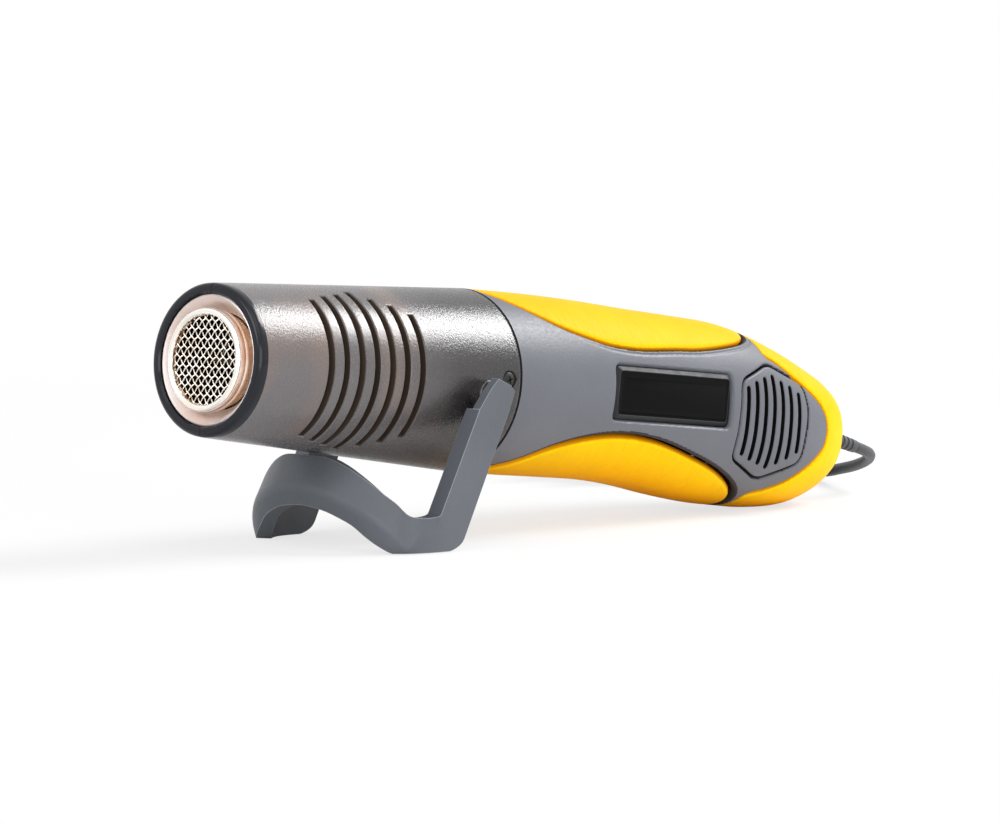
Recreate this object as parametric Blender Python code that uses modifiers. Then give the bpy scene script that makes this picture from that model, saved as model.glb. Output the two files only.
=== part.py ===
"""Hot air tool on its folding stand: nozzle towards -X, cord coiled on the table behind the handle.

The tool is built in its own frame: X runs back from the nose ring along the barrel, Z is up and
Y is sideways. One empty tips that frame nose up, until the handle and the stand's feet rest on Z = 0.
"""

import math

import bmesh
import bpy
from mathutils import Vector

CLEAR = 0.0003
HALF_GAP = 0.00015
PITCH = math.radians(5.52)

GUARD_LENGTH = 0.094
NOSE_RADIUS = 0.0200
NECK_RADIUS = 0.0249
GUARD_WALL = 0.0022
NOSE_LIP_INNER = 0.0173
NOSE_LIP_DEPTH = 0.0025
NOSE_ROUND = 0.0012
SLOT_FIRST = 0.0251
SLOT_PITCH = 0.00543
SLOT_WIDTH = 0.0021
SLOT_HALF_ANGLES = (57, 62, 65, 69, 60, 53, 45)

SPIGOT_START = 0.087
SPIGOT_END = 0.098
SPIGOT_WALL = 0.0020
GUARD_SCREW_X = 0.0897
GUARD_SCREW_Z = 0.0012
GUARD_SCREW_RADIUS = 0.0011
GUARD_SCREW_HEAD = 0.0021
GUARD_SCREW_SUNK = 0.0012

TUBE_RADIUS = 0.0123
TUBE_WALL = 0.0007
TUBE_START = 0.0006
TUBE_END = 0.080
COLLAR_RADIUS = 0.0135
COLLAR_FRONT = -0.0013
COLLAR_DEPTH = 0.0045
MESH_OPENING = 0.0117
MESH_PITCH = 0.0026
MESH_WIRE = 0.00045
SHIELD_RADIUS = 0.0160
SHIELD_WALL = 0.0008
SHIELD_START = 0.007
SHIELD_FLANGE_X = 0.0876
MICA_START = 0.012
MICA_LENGTH = 0.060
MICA_WIDTH = 0.0178
MICA_THICK = 0.0008
HEATER_RADIUS = 0.0104
HEATER_WIRE = 0.0008
HEATER_TURNS = 6
INSULATOR_THICK = 0.003
FUNNEL_WALL = 0.0010

FAN_X = SHIELD_FLANGE_X + 0.0139
FAN_RADIUS = 0.0175
FAN_HUB = 0.0050
FAN_BLADES = 6
SHAFT_RADIUS = 0.0010
MOTOR_RADIUS = 0.0138
MOTOR_FRONT = FAN_X + 0.0085
MOTOR_LENGTH = 0.038

HANDLE_WALL = 0.0044
GRIP_THICK = 0.0021
PANEL_THICK = 0.0030
STATIONS = 15
RING_POINTS = 24
CROWN = (
    (0.0943, 0.0249), (0.118, 0.0250), (0.137, 0.0246), (0.160, 0.0236), (0.178, 0.0230),
    (0.195, 0.0221), (0.207, 0.0200), (0.2207, 0.0164), (0.2306, 0.0132), (0.2425, 0.0090),
    (0.249, 0.0055), (0.254, 0.0), (0.257, -0.0060), (0.2575, -0.0085),
)
BELLY = (
    (0.0943, -0.0249), (0.111, -0.0251), (0.130, -0.0250), (0.148, -0.0251), (0.1635, -0.0262),
    (0.1793, -0.0282), (0.1948, -0.0297), (0.2069, -0.0301), (0.216, -0.0302), (0.230, -0.0289),
    (0.240, -0.0257), (0.246, -0.0228), (0.252, -0.0185), (0.256, -0.0130), (0.2575, -0.0085),
)
PLAN = (
    (0.0943, 0.0249), (0.120, 0.0243), (0.140, 0.0236), (0.190, 0.0226), (0.210, 0.0215),
    (0.225, 0.0200), (0.237, 0.0178), (0.244, 0.0158), (0.249, 0.0138), (0.253, 0.0110),
    (0.256, 0.0070), (0.2575, 0.0),
)
TOP_EDGE = (
    (0.0962, 0.0246), (0.1002, 0.0229), (0.1068, 0.0201), (0.1152, 0.0170), (0.1256, 0.0146),
    (0.134, 0.0132), (0.146, 0.0127), (0.162, 0.0136), (0.1736, 0.0142), (0.1869, 0.0158),
    (0.1978, 0.0178), (0.2035, 0.0200), (0.2045, 0.0225),
)
BOTTOM_EDGE = (
    (0.0985, -0.0245), (0.1059, -0.0215), (0.1145, -0.0172), (0.1265, -0.0138), (0.1409, -0.0122),
    (0.1563, -0.0132), (0.1738, -0.0170), (0.187, -0.0209), (0.1972, -0.0254), (0.2013, -0.0287),
    (0.2025, -0.0315),
)
REAR_EDGE = (
    (0.2066, 0.0225), (0.2052, 0.0149), (0.2109, 0.0122), (0.2178, 0.0086), (0.2245, 0.0053),
    (0.2304, 0.0019), (0.2341, -0.0024), (0.2349, -0.0064), (0.2335, -0.0108), (0.2292, -0.0147),
    (0.224, -0.0183), (0.2177, -0.0220), (0.2115, -0.0245), (0.2053, -0.0268), (0.2062, -0.0320),
)
VENT_OUTLINE = (
    (0.2042, 0.0114), (0.1903, 0.0062), (0.1893, -0.0157), (0.2038, -0.0213),
    (0.2205, -0.0159), (0.2226, -0.0011), (0.2211, 0.0065),
)
VENT_FIRST = 0.1929
VENT_PITCH = 0.0042
VENT_WIDTH = 0.0018
VENT_TOPS = (0.0050, 0.0066, 0.0079, 0.0087, 0.0072, 0.0060, 0.0043)
VENT_BOTTOMS = (-0.0150, -0.0163, -0.0173, -0.0183, -0.0169, -0.0153, -0.0134)

PLATE_X = 0.1599
PLATE_Z = 0.0002
PLATE_LENGTH = 0.0502
PLATE_HEIGHT = 0.0146
PLATE_THICK = 0.0011
PLATE_FACE = 0.0221
PLATE_TURN = math.radians(1.15)

SWITCH_X = 0.160
SWITCH_LENGTH = 0.0182
SWITCH_HEIGHT = 0.0116
SWITCH_WALL = 0.0012
SWITCH_FLANGE = 0.0022
SWITCH_FACE = 0.0236
SWITCH_FLANGE_THICK = 0.0014
SWITCH_DEPTH = 0.0095
ROCKER_RADIUS = 0.0086
ROCKER_PIVOT_Y = 0.0185
ROCKER_TILT = math.radians(8)
TRUNNION_RADIUS = 0.0012

BOARD_X = MOTOR_FRONT + MOTOR_LENGTH + 0.022
BOARD_LENGTH = 0.036
BOARD_HALF_WIDTH = 0.0165
BOARD_THICK = 0.0016
BOARD_Z = -0.0097

PIVOT_X = 0.0795
PIVOT_Z = -0.0031
BOSS_RADIUS = 0.0038
EAR_INNER = 0.0276
STAND_OUTER = 0.0303
STAND_THICK = 0.0049
PIN_RADIUS = 0.0020
PIN_INNER = 0.0222
PIN_OUTER = 0.0290
BAND_CENTRE = 0.060
BAND_REACH = 0.0237
BAND_POWER = 2.1

RELIEF_START = (0.248, -0.0063)
RELIEF_SLOPE = math.atan2(3.5, 19.2)
RELIEF_LENGTH = 0.0225
RELIEF_ROOT = 0.0022
RELIEF_TIP = 0.0019
RELIEF_FLANGE = 0.0036

CORD_RADIUS = 0.0017
COIL_CENTRE = (0.272, 0.0595)
COIL_INNER = 0.0147
COIL_PITCH = 0.0039
COIL_TURNS_A_LAYER = 4.75
COIL_POINTS_A_TURN = 16
LEAST_COIL_GAP = 0.0004
CORD_POINTS = (
    (0.278, 0.0022, 0.0119), (0.284, 0.008, 0.0094), (0.2885, 0.016, 0.0070),
    (0.2935, 0.026, 0.0049), (0.2992, 0.036, 0.0031), (0.3040, 0.046, 0.0022),
)
TAIL_POINTS = (
    (-0.0006, 0.009, 0.0012), (-0.0032, 0.0145, 0.0036), (-0.0077, 0.0182, 0.0062),
    (-0.0137, 0.0198, 0.0082),
)
PLUG_LENGTH = 0.036
PLUG_WIDTH = 0.0353
PLUG_THICK = 0.0137
PLUG_BACK = 0.0120
PLUG_SHIFT = 0.0200
PLUG_PIN_RADIUS = 0.0020
PLUG_PIN_LENGTH = 0.019
PLUG_PIN_SPACING = 0.0186
PLUG_PIN_SEAT = 0.006

COLOURS = {
    "handle_grey": ((0.19, 0.20, 0.22), 0.55, 0.0),
    "grip_yellow": ((0.95, 0.50, 0.02), 0.55, 0.0),
    "smoked_guard": ((0.08, 0.07, 0.07), 0.25, 0.0),
    "stand_grey": ((0.09, 0.10, 0.11), 0.5, 0.0),
    "black_plastic": ((0.02, 0.02, 0.02), 0.4, 0.0),
    "gloss_black": ((0.01, 0.01, 0.01), 0.12, 0.0),
    "cord_grey": ((0.08, 0.08, 0.09), 0.55, 0.0),
    "steel": ((0.60, 0.58, 0.56), 0.25, 1.0),
    "heated_steel": ((0.65, 0.42, 0.30), 0.30, 1.0),
    "copper_shield": ((0.40, 0.20, 0.12), 0.35, 1.0),
    "mica": ((0.70, 0.62, 0.45), 0.5, 0.0),
    "ceramic": ((0.80, 0.78, 0.72), 0.6, 0.0),
    "board_green": ((0.03, 0.20, 0.08), 0.45, 0.0),
    "motor_steel": ((0.45, 0.45, 0.47), 0.35, 1.0),
}


def clear_scene():
    for old in list(bpy.data.objects):
        bpy.data.objects.remove(old, do_unlink=True)


def make_collection(name, hidden=False):
    made = bpy.data.collections.new(name)
    bpy.context.scene.collection.children.link(made)
    made.hide_render = hidden
    return made


def make_empty(name, parent=None):
    empty = bpy.data.objects.new(name, None)
    PART.objects.link(empty)
    empty.parent = parent
    return empty


def material(name):
    found = bpy.data.materials.get(name)
    if found:
        return found
    colour, roughness, metallic = COLOURS[name]
    made = bpy.data.materials.new(name)
    made.use_nodes = True
    shader = made.node_tree.nodes["Principled BSDF"]
    shader.inputs["Base Color"].default_value = (*colour, 1.0)
    shader.inputs["Roughness"].default_value = roughness
    shader.inputs["Metallic"].default_value = metallic
    return made


def add_object(name, data, finish=None, parent=None):
    """A visible piece where a finish is named, or else a hidden cutter."""
    obj = bpy.data.objects.new(name, data)
    obj.parent = parent
    if finish:
        PART.objects.link(obj)
        data.materials.append(material(finish))
    else:
        CUTTERS.objects.link(obj)
        obj.hide_render = True
        obj.display_type = "WIRE"
    return obj


def mesh_from(name, bm):
    bmesh.ops.recalc_face_normals(bm, faces=bm.faces)
    mesh = bpy.data.meshes.new(name)
    bm.to_mesh(mesh)
    bm.free()
    mesh.shade_smooth()
    mesh.set_sharp_from_angle(angle=math.radians(35))
    return mesh


def add_loft(bm, rings):
    """Skins rings of equal point counts and closes both ends; a ring of one point is a pole."""
    rows = [[bm.verts.new(point) for point in ring] for ring in rings]
    for first, second in zip(rows, rows[1:]):
        count = max(len(first), len(second))
        for i in range(count):
            j = (i + 1) % count
            corners = [first[i % len(first)], first[j % len(first)]]
            corners += [second[j % len(second)], second[i % len(second)]]
            bm.faces.new(list(dict.fromkeys(corners)))
    for row in (rows[0], rows[-1]):
        if len(row) > 2:
            bm.faces.new(row)


def loft(name, rings, finish=None, parent=None):
    bm = bmesh.new()
    add_loft(bm, rings)
    bmesh.ops.triangulate(bm, faces=bm.faces)
    return add_object(name, mesh_from(name, bm), finish, parent)


def box(name, low, high, finish=None, parent=None):
    bm = bmesh.new()
    bmesh.ops.create_cube(bm, size=1.0)
    for vert in bm.verts:
        for axis in range(3):
            vert.co[axis] = (low[axis] + high[axis]) / 2 + vert.co[axis] * (high[axis] - low[axis])
    return add_object(name, mesh_from(name, bm), finish, parent)


def rod(name, start, end, radius, finish=None, parent=None, end_radius=None, segments=24):
    """A cylinder or cone from one point to another."""
    start, end = Vector(start), Vector(end)
    bm = bmesh.new()
    bmesh.ops.create_cone(
        bm,
        cap_ends=True,
        segments=segments,
        radius1=radius,
        radius2=radius if end_radius is None else end_radius,
        depth=(end - start).length,
    )
    turn = Vector((0, 0, 1)).rotation_difference(end - start).to_matrix().to_4x4()
    turn.translation = (start + end) / 2
    bmesh.ops.transform(bm, matrix=turn, verts=bm.verts)
    return add_object(name, mesh_from(name, bm), finish, parent)


def turned(name, profile, finish=None, parent=None, steps=20):
    """Revolves (radius, distance back) points about the barrel's axis, outer side from back to front."""
    mesh = bpy.data.meshes.new(name)
    on_axis = profile[0][0] == 0 and profile[-1][0] == 0
    edges = [(i, i + 1) for i in range(len(profile) - 1)]
    if not on_axis:
        edges.append((len(profile) - 1, 0))
    mesh.from_pydata([(radius, 0.0, back) for radius, back in profile], edges, [])
    obj = add_object(name, mesh, finish, parent)
    obj.rotation_euler = (0, math.pi / 2, 0)
    screw = obj.modifiers.new("turn", "SCREW")
    screw.steps = steps
    screw.render_steps = steps
    screw.use_smooth_shade = True
    screw.use_merge_vertices = True
    screw.merge_threshold = 0.00001
    return obj


def prism(name, outline, low, high, finish=None, parent=None):
    """Extrudes a side-view outline of (x, z) points between two sideways places."""
    bm = bmesh.new()
    add_loft(bm, [[(x, y, z) for x, z in outline] for y in (low, high)])
    return add_object(name, mesh_from(name, bm), finish, parent)


def cut(obj, cutter, operation="DIFFERENCE"):
    boolean = obj.modifiers.new(operation.lower(), "BOOLEAN")
    boolean.object = cutter
    boolean.operation = operation
    boolean.solver = "EXACT"


def smooth_curve(points, count=None, spacing=None):
    """Reads evenly spaced points from a smooth curve through the given ones."""
    points = [Vector(p) for p in points]
    ends = [2 * points[0] - points[1], *points, 2 * points[-1] - points[-2]]
    fine = []
    for a, b, c, d in zip(ends, ends[1:], ends[2:], ends[3:]):
        knots = [0.0]
        for near, far in ((a, b), (b, c), (c, d)):
            knots.append(knots[-1] + math.sqrt((far - near).length))
        t0, t1, t2, t3 = knots
        for step in range(24):
            t = t1 + (t2 - t1) * step / 24
            ab = a.lerp(b, (t - t0) / (t1 - t0))
            bc = b.lerp(c, (t - t1) / (t2 - t1))
            cd = c.lerp(d, (t - t2) / (t3 - t2))
            abc = ab.lerp(bc, (t - t0) / (t2 - t0))
            bcd = bc.lerp(cd, (t - t1) / (t3 - t1))
            fine.append(abc.lerp(bcd, (t - t1) / (t2 - t1)))
    fine.append(points[-1])
    along = [0.0]
    for near, far in zip(fine, fine[1:]):
        along.append(along[-1] + (far - near).length)
    if count is None:
        count = max(2, round(along[-1] / spacing) + 1)
    shares = [i / (count - 1) for i in range(count)]
    return [point_along(fine, along, share * along[-1]) for share in shares]


def point_along(fine, along, distance):
    for i in range(1, len(fine)):
        if along[i] >= distance:
            span = along[i] - along[i - 1]
            return fine[i - 1].lerp(fine[i], (distance - along[i - 1]) / span if span else 0.0)
    return fine[-1].copy()


def offset_line(points, distance):
    """Moves each point of an open line to the right of its direction of travel."""
    moved = []
    for i, point in enumerate(points):
        before = points[max(i - 1, 0)]
        after = points[min(i + 1, len(points) - 1)]
        run = (Vector(after) - Vector(before)).normalized()
        moved.append((point[0] + run[1] * distance, point[1] - run[0] * distance))
    return moved


def guard_radius(back):
    return NOSE_RADIUS + (NECK_RADIUS - NOSE_RADIUS) * back / GUARD_LENGTH


def spigot_outer():
    return guard_radius(SPIGOT_START) - GUARD_WALL - CLEAR


def spigot_inner():
    return spigot_outer() - SPIGOT_WALL


def arc_slots(name, side):
    """The curved slots of one guard half, each a sector of a ring about the barrel's axis."""
    bm = bmesh.new()
    inner = NOSE_RADIUS - GUARD_WALL - 0.001
    outer = NECK_RADIUS + 0.003
    for i, half_angle in enumerate(SLOT_HALF_ANGLES):
        front = SLOT_FIRST + i * SLOT_PITCH - SLOT_WIDTH / 2
        rings = []
        for step in range(7):
            angle = math.radians(half_angle) * (step / 3 - 1)
            y, z = side * math.cos(angle), math.sin(angle)
            corners = ((front, inner), (front, outer), (front + SLOT_WIDTH, outer), (front + SLOT_WIDTH, inner))
            rings.append([(x, radius * y, radius * z) for x, radius in corners])
        add_loft(bm, rings)
    return add_object(name, mesh_from(name, bm), parent=TOOL)


def side_block(name, side):
    """Everything on one side of the middle plane, less half the seam's gap."""
    near, far = side * HALF_GAP, side * 0.06
    return box(name, (-0.02, min(near, far), -0.06), (0.30, max(near, far), 0.06), parent=TOOL)


def make_guard(label, side):
    wall_back = guard_radius(GUARD_LENGTH) - GUARD_WALL
    wall_front = guard_radius(NOSE_LIP_DEPTH) - GUARD_WALL
    profile = [(guard_radius(GUARD_LENGTH), GUARD_LENGTH), (guard_radius(NOSE_ROUND), NOSE_ROUND)]
    for degrees in (30, 60, 90):
        angle = math.radians(degrees)
        swing = NOSE_ROUND * (1 - math.cos(angle))
        profile.append((NOSE_RADIUS - swing, NOSE_ROUND * (1 - math.sin(angle))))
    profile += [(NOSE_LIP_INNER, 0.0), (NOSE_LIP_INNER, NOSE_LIP_DEPTH)]
    profile += [(wall_front, NOSE_LIP_DEPTH + 0.001), (wall_back, GUARD_LENGTH)]
    guard = turned("barrel_guard_" + label, profile, "smoked_guard", TOOL, steps=36)
    boss = rod(
        "boss_" + label,
        (PIVOT_X, side * (guard_radius(PIVOT_X) - 0.0018), PIVOT_Z),
        (PIVOT_X, side * (EAR_INNER - CLEAR), PIVOT_Z),
        BOSS_RADIUS,
        parent=TOOL,
    )
    cut(guard, boss, "UNION")
    cut(guard, side_block("guard_side_" + label, side), "INTERSECT")
    cut(guard, arc_slots("slots_" + label, side))
    bore_start = (PIVOT_X, side * (PIN_INNER - CLEAR), PIVOT_Z)
    bore_end = (PIVOT_X, side * 0.035, PIVOT_Z)
    cut(guard, rod("pin_bore_" + label, bore_start, bore_end, PIN_RADIUS + CLEAR, parent=TOOL))
    cut(guard, screw_hole("guard_screw_hole_" + label, side))
    cut(guard, screw_recess("guard_screw_recess_" + label, side))
    return guard


def screw_seat():
    return guard_radius(GUARD_SCREW_X) - GUARD_SCREW_SUNK


def screw_hole(name, side):
    start = (GUARD_SCREW_X, side * (spigot_inner() - 0.002), GUARD_SCREW_Z)
    end = (GUARD_SCREW_X, side * (NECK_RADIUS + 0.002), GUARD_SCREW_Z)
    return rod(name, start, end, GUARD_SCREW_RADIUS + CLEAR, parent=TOOL, segments=16)


def screw_recess(name, side):
    start = (GUARD_SCREW_X, side * screw_seat(), GUARD_SCREW_Z)
    end = (GUARD_SCREW_X, side * (NECK_RADIUS + 0.002), GUARD_SCREW_Z)
    return rod(name, start, end, GUARD_SCREW_HEAD + CLEAR, parent=TOOL, segments=20)


def make_guard_screw(label, side):
    y_seat = screw_seat() + CLEAR
    start = (GUARD_SCREW_X, side * (spigot_inner() + CLEAR), GUARD_SCREW_Z)
    seat = (GUARD_SCREW_X, side * y_seat, GUARD_SCREW_Z)
    top = (GUARD_SCREW_X, side * (y_seat + GUARD_SCREW_SUNK - CLEAR), GUARD_SCREW_Z)
    inside = (GUARD_SCREW_X, side * (y_seat + 0.0002), GUARD_SCREW_Z)
    screw = rod("guard_screw_" + label, seat, top, GUARD_SCREW_HEAD, "steel", TOOL, segments=14)
    cut(screw, rod("screw_shank_" + label, start, inside, GUARD_SCREW_RADIUS, parent=TOOL, segments=10), "UNION")


def make_nozzle():
    inner = TUBE_RADIUS - TUBE_WALL
    tube = [(TUBE_RADIUS, TUBE_END), (TUBE_RADIUS, TUBE_START), (inner, TUBE_START), (inner, TUBE_END)]
    turned("nozzle_tube", tube, "heated_steel", TOOL)
    back = COLLAR_FRONT + COLLAR_DEPTH
    lip = TUBE_START - 0.001
    collar = [
        (COLLAR_RADIUS - 0.0004, back), (COLLAR_RADIUS, back - 0.0004), (COLLAR_RADIUS, COLLAR_FRONT + 0.0007),
        (COLLAR_RADIUS - 0.0006, COLLAR_FRONT + 0.0001), (MESH_OPENING + 0.0004, COLLAR_FRONT),
        (MESH_OPENING, COLLAR_FRONT + 0.0004), (MESH_OPENING, lip),
        (TUBE_RADIUS + CLEAR, lip), (TUBE_RADIUS + CLEAR, back),
    ]
    turned("nozzle_collar", collar, "steel", TOOL)
    make_mesh_disc(lip + CLEAR, TUBE_START - CLEAR)


def make_mesh_disc(front, back):
    """A round plate with square holes on the slant, as the woven wire shows."""
    outline = bpy.data.curves.new("nozzle_mesh", "CURVE")
    outline.dimensions = "2D"
    outline.fill_mode = "BOTH"
    outline.extrude = (back - front) / 2
    add_outline(outline, [ring_point(TUBE_RADIUS, i / 32) for i in range(32)])
    half = (MESH_PITCH - MESH_WIRE) / 2
    reach = int(TUBE_RADIUS / MESH_PITCH) + 1
    turn = math.radians(45)
    for i in range(-reach, reach + 1):
        for j in range(-reach, reach + 1):
            centre_x, centre_y = i * MESH_PITCH, j * MESH_PITCH
            if math.hypot(centre_x, centre_y) + half * math.sqrt(2) > MESH_OPENING - 0.0001:
                continue
            corners = []
            for dx, dy in ((-half, -half), (half, -half), (half, half), (-half, half)):
                x, y = centre_x + dx, centre_y + dy
                corners.append((x * math.cos(turn) - y * math.sin(turn), x * math.sin(turn) + y * math.cos(turn)))
            add_outline(outline, corners)
    disc = add_object("nozzle_mesh", outline, "steel", TOOL)
    disc.location = ((front + back) / 2, 0, 0)
    disc.rotation_euler = (0, math.pi / 2, 0)


def ring_point(radius, share):
    return radius * math.cos(math.tau * share), radius * math.sin(math.tau * share)


def add_outline(curve, points):
    spline = curve.splines.new("POLY")
    spline.points.add(len(points) - 1)
    for slot, (x, y) in zip(spline.points, points):
        slot.co = (x, y, 0, 1)
    spline.use_cyclic_u = True


def make_heater():
    reflector_outer = NOSE_LIP_INNER - CLEAR
    reflector_inner = TUBE_RADIUS + CLEAR
    reflector = [
        (reflector_outer, 0.0028), (reflector_outer, 0.0022), (reflector_inner, 0.0062), (reflector_inner, 0.0068),
    ]
    turned("reflector_cone", reflector, "steel", TOOL, steps=32)
    flange = spigot_inner() - CLEAR
    shield_inner = SHIELD_RADIUS - SHIELD_WALL
    flange_back = SHIELD_FLANGE_X + 0.001
    shield = [
        (flange, flange_back), (flange, SHIELD_FLANGE_X), (SHIELD_RADIUS, SHIELD_FLANGE_X),
        (SHIELD_RADIUS, SHIELD_START), (shield_inner, SHIELD_START), (shield_inner, flange_back),
    ]
    turned("heat_shield", shield, "copper_shield", TOOL)
    make_mica()
    mica_end = MICA_START + MICA_LENGTH
    disc_outer = TUBE_RADIUS - TUBE_WALL - CLEAR
    disc_front = mica_end + CLEAR
    disc_back = disc_front + INSULATOR_THICK
    disc = [(disc_outer, disc_back), (disc_outer, disc_front), (0.003, disc_front), (0.003, disc_back)]
    turned("rear_insulator", disc, "ceramic", TOOL)
    cutout_front = disc_back + CLEAR
    box("thermal_cutout", (cutout_front, -0.004, 0.005), (cutout_front + 0.0055, 0.004, 0.008), "gloss_black", TOOL)
    funnel_inner = TUBE_RADIUS + CLEAR
    funnel_outer = funnel_inner + FUNNEL_WALL
    throat = SHIELD_FLANGE_X + 0.0016
    mouth = throat + 0.0046
    mouth_back = mouth + 0.0022
    funnel = [
        (flange, mouth_back), (flange, mouth), (funnel_outer, throat), (funnel_outer, TUBE_END - 0.004),
        (funnel_inner, TUBE_END - 0.004), (funnel_inner, throat + 0.0002),
        (flange - FUNNEL_WALL, mouth + 0.0002), (flange - FUNNEL_WALL, mouth_back),
    ]
    turned("heater_funnel", funnel, "black_plastic", TOOL)


def make_mica():
    half_width, half_thick = MICA_WIDTH / 2, MICA_THICK / 2
    end = MICA_START + MICA_LENGTH
    core = box("mica_core", (MICA_START, -half_width, -half_thick), (end, half_width, half_thick), "mica", TOOL)
    cross = box("mica_cross", (MICA_START + 0.001, -half_thick, -half_width), (end - 0.001, half_thick, half_width), parent=TOOL)
    cut(core, cross, "UNION")
    wire = bpy.data.curves.new("heating_coil", "CURVE")
    wire.dimensions = "3D"
    wire.bevel_depth = HEATER_WIRE / 2
    wire.bevel_resolution = 1
    wire.use_fill_caps = True
    count = HEATER_TURNS * 8
    spline = wire.splines.new("POLY")
    spline.points.add(count)
    for i, slot in enumerate(spline.points):
        y, z = ring_point(HEATER_RADIUS, i / 8)
        slot.co = (MICA_START + 0.003 + (MICA_LENGTH - 0.006) * i / count, y, z, 1)
    add_object("heating_coil", wire, "steel", TOOL)


def make_fan():
    hub_front, hub_back = FAN_X - 0.0042, FAN_X + 0.0042
    bore = SHAFT_RADIUS + CLEAR
    hub = [(FAN_HUB, hub_back), (FAN_HUB, hub_front), (bore, hub_front), (bore, hub_back)]
    fan = turned("fan", hub, "black_plastic", TOOL, steps=20)
    bm = bmesh.new()
    for i in range(FAN_BLADES):
        angle = math.tau * i / FAN_BLADES
        rings = []
        for radius, twist in ((FAN_HUB - 0.0005, 50), (0.011, 58), (FAN_RADIUS, 64)):
            lean = math.radians(twist)
            run = Vector((math.cos(lean), math.sin(lean))) * 0.0034
            thick = Vector((-math.sin(lean), math.cos(lean))) * 0.0004
            ring = []
            for along, across in ((-1, -1), (1, -1), (1, 1), (-1, 1)):
                x, side = along * run + across * thick
                y = radius * math.cos(angle) - side * math.sin(angle)
                z = radius * math.sin(angle) + side * math.cos(angle)
                ring.append((FAN_X + x, y, z))
            rings.append(ring)
        add_loft(bm, rings)
    blades = add_object("fan_blades", mesh_from("fan_blades", bm), parent=TOOL)
    cut(fan, blades, "UNION")


def make_motor():
    back = MOTOR_FRONT + MOTOR_LENGTH
    nose = MOTOR_FRONT - 0.0015
    bore = SHAFT_RADIUS + CLEAR
    body = [
        (0.0, back), (MOTOR_RADIUS - 0.0012, back), (MOTOR_RADIUS, back - 0.0012),
        (MOTOR_RADIUS, MOTOR_FRONT + 0.0012), (MOTOR_RADIUS - 0.0012, MOTOR_FRONT),
        (0.004, MOTOR_FRONT), (0.004, nose), (bore, nose), (bore, nose + 0.006), (0.0, nose + 0.006),
    ]
    turned("motor", body, "motor_steel", TOOL)
    rod("motor_shaft", (FAN_X - 0.0045, 0, 0), (nose + 0.006 - CLEAR, 0, 0), SHAFT_RADIUS, "steel", TOOL, segments=16)
    plate_front, plate_back = MOTOR_FRONT + 0.0018, MOTOR_FRONT + 0.0043
    hole_radius = MOTOR_RADIUS + CLEAR
    outer = NECK_RADIUS - HANDLE_WALL - 0.0009
    ring = [(outer, plate_back), (outer, plate_front), (hole_radius, plate_front), (hole_radius, plate_back)]
    plate = turned("motor_mount", ring, "black_plastic", TOOL)
    for i in range(6):
        y, z = ring_point((outer + hole_radius) / 2, (i + 0.54) / 6)
        hole = rod(f"air_hole_{i}", (plate_front - 0.002, y, z), (plate_back + 0.002, y, z), 0.0020, parent=TOOL, segments=8)
        cut(plate, hole)


def handle_lines(inset):
    """Top, bottom and plan outlines of the handle at equal shares of their length, set in by a wall."""
    lines = []
    for outline, sign in ((CROWN, 1), (BELLY, -1), (PLAN, 1)):
        fine = smooth_curve([(x, z, 0) for x, z in outline], count=241)
        points = []
        for k in range(STATIONS + 1):
            share = 1 - (1 - k / STATIONS) ** 1.5
            points.append(fine[round(share * 240)])
        flat = [(p.x, p.y) for p in points]
        lines.append(offset_line(flat, sign * inset))
    return lines


def handle_rings(inset, front=None):
    """Cross-sections from the neck to the rear end; a front carries the first one forward or back."""
    crown, belly, plan = handle_lines(inset)
    rings = []
    for k in range(STATIONS):
        power = 2 / (2.0 + 0.3 * min(1, k / 6))
        (top_x, top_z), (low_x, low_z), (mid_x, half_width) = crown[k], belly[k], plan[k]
        centre = Vector((mid_x, 0, (top_z + low_z) / 2))
        top, low = Vector((top_x, 0, top_z)), Vector((low_x, 0, low_z))
        ring = []
        for i in range(RING_POINTS):
            angle = math.tau * i / RING_POINTS
            up, out = math.cos(angle), math.sin(angle)
            end = top if up >= 0 else low
            lift = abs(up) ** power
            reach = math.copysign(abs(out) ** power, out)
            ring.append(centre + (end - centre) * lift + Vector((0, half_width, 0)) * reach)
        rings.append(ring)
    if front is not None:
        rings[0] = [Vector((front, p.y, p.z)) for p in rings[0]]
    rings.append([Vector((CROWN[-1][0] - inset, 0, CROWN[-1][1]))])
    return rings


def region(edge, closing, shift=0.0):
    """A side-view outline: a smooth edge, moved by a shift, closed by far corners."""
    line = [(p.x, p.y) for p in smooth_curve([(x, z, 0) for x, z in edge], spacing=0.006)]
    return offset_line(line, shift) + list(closing)


def top_region(shift=0.0):
    ends = ((TOP_EDGE[-1][0] + shift, 0.034), (TOP_EDGE[0][0] - shift, 0.034))
    return region(TOP_EDGE, ends, shift)


def bottom_region(shift=0.0):
    ends = ((BOTTOM_EDGE[-1][0] + shift, -0.040), (BOTTOM_EDGE[0][0] - shift, -0.040))
    return region(BOTTOM_EDGE, ends, -shift)


def rear_region(shift=0.0):
    ends = ((REAR_EDGE[-1][0] - shift, -0.045), (0.28, -0.045), (0.28, 0.045), (REAR_EDGE[0][0] - shift, 0.045))
    return region(REAR_EDGE, ends, shift)


def grown_outline(outline, distance):
    """A convex side-view outline made larger all round."""
    count = len(outline)
    centre = sum((Vector(p) for p in outline), Vector((0, 0))) / count
    return [tuple(Vector(p) + (Vector(p) - centre).normalized() * distance * 1.2) for p in outline]


def relief_axis():
    start = Vector((RELIEF_START[0], 0, RELIEF_START[1]))
    return start, Vector((math.cos(RELIEF_SLOPE), 0, -math.sin(RELIEF_SLOPE)))


def relief_hole(name):
    start, heading = relief_axis()
    return rod(name, start - heading * 0.004, start + heading * 0.03, RELIEF_ROOT + CLEAR, parent=TOOL)


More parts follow.
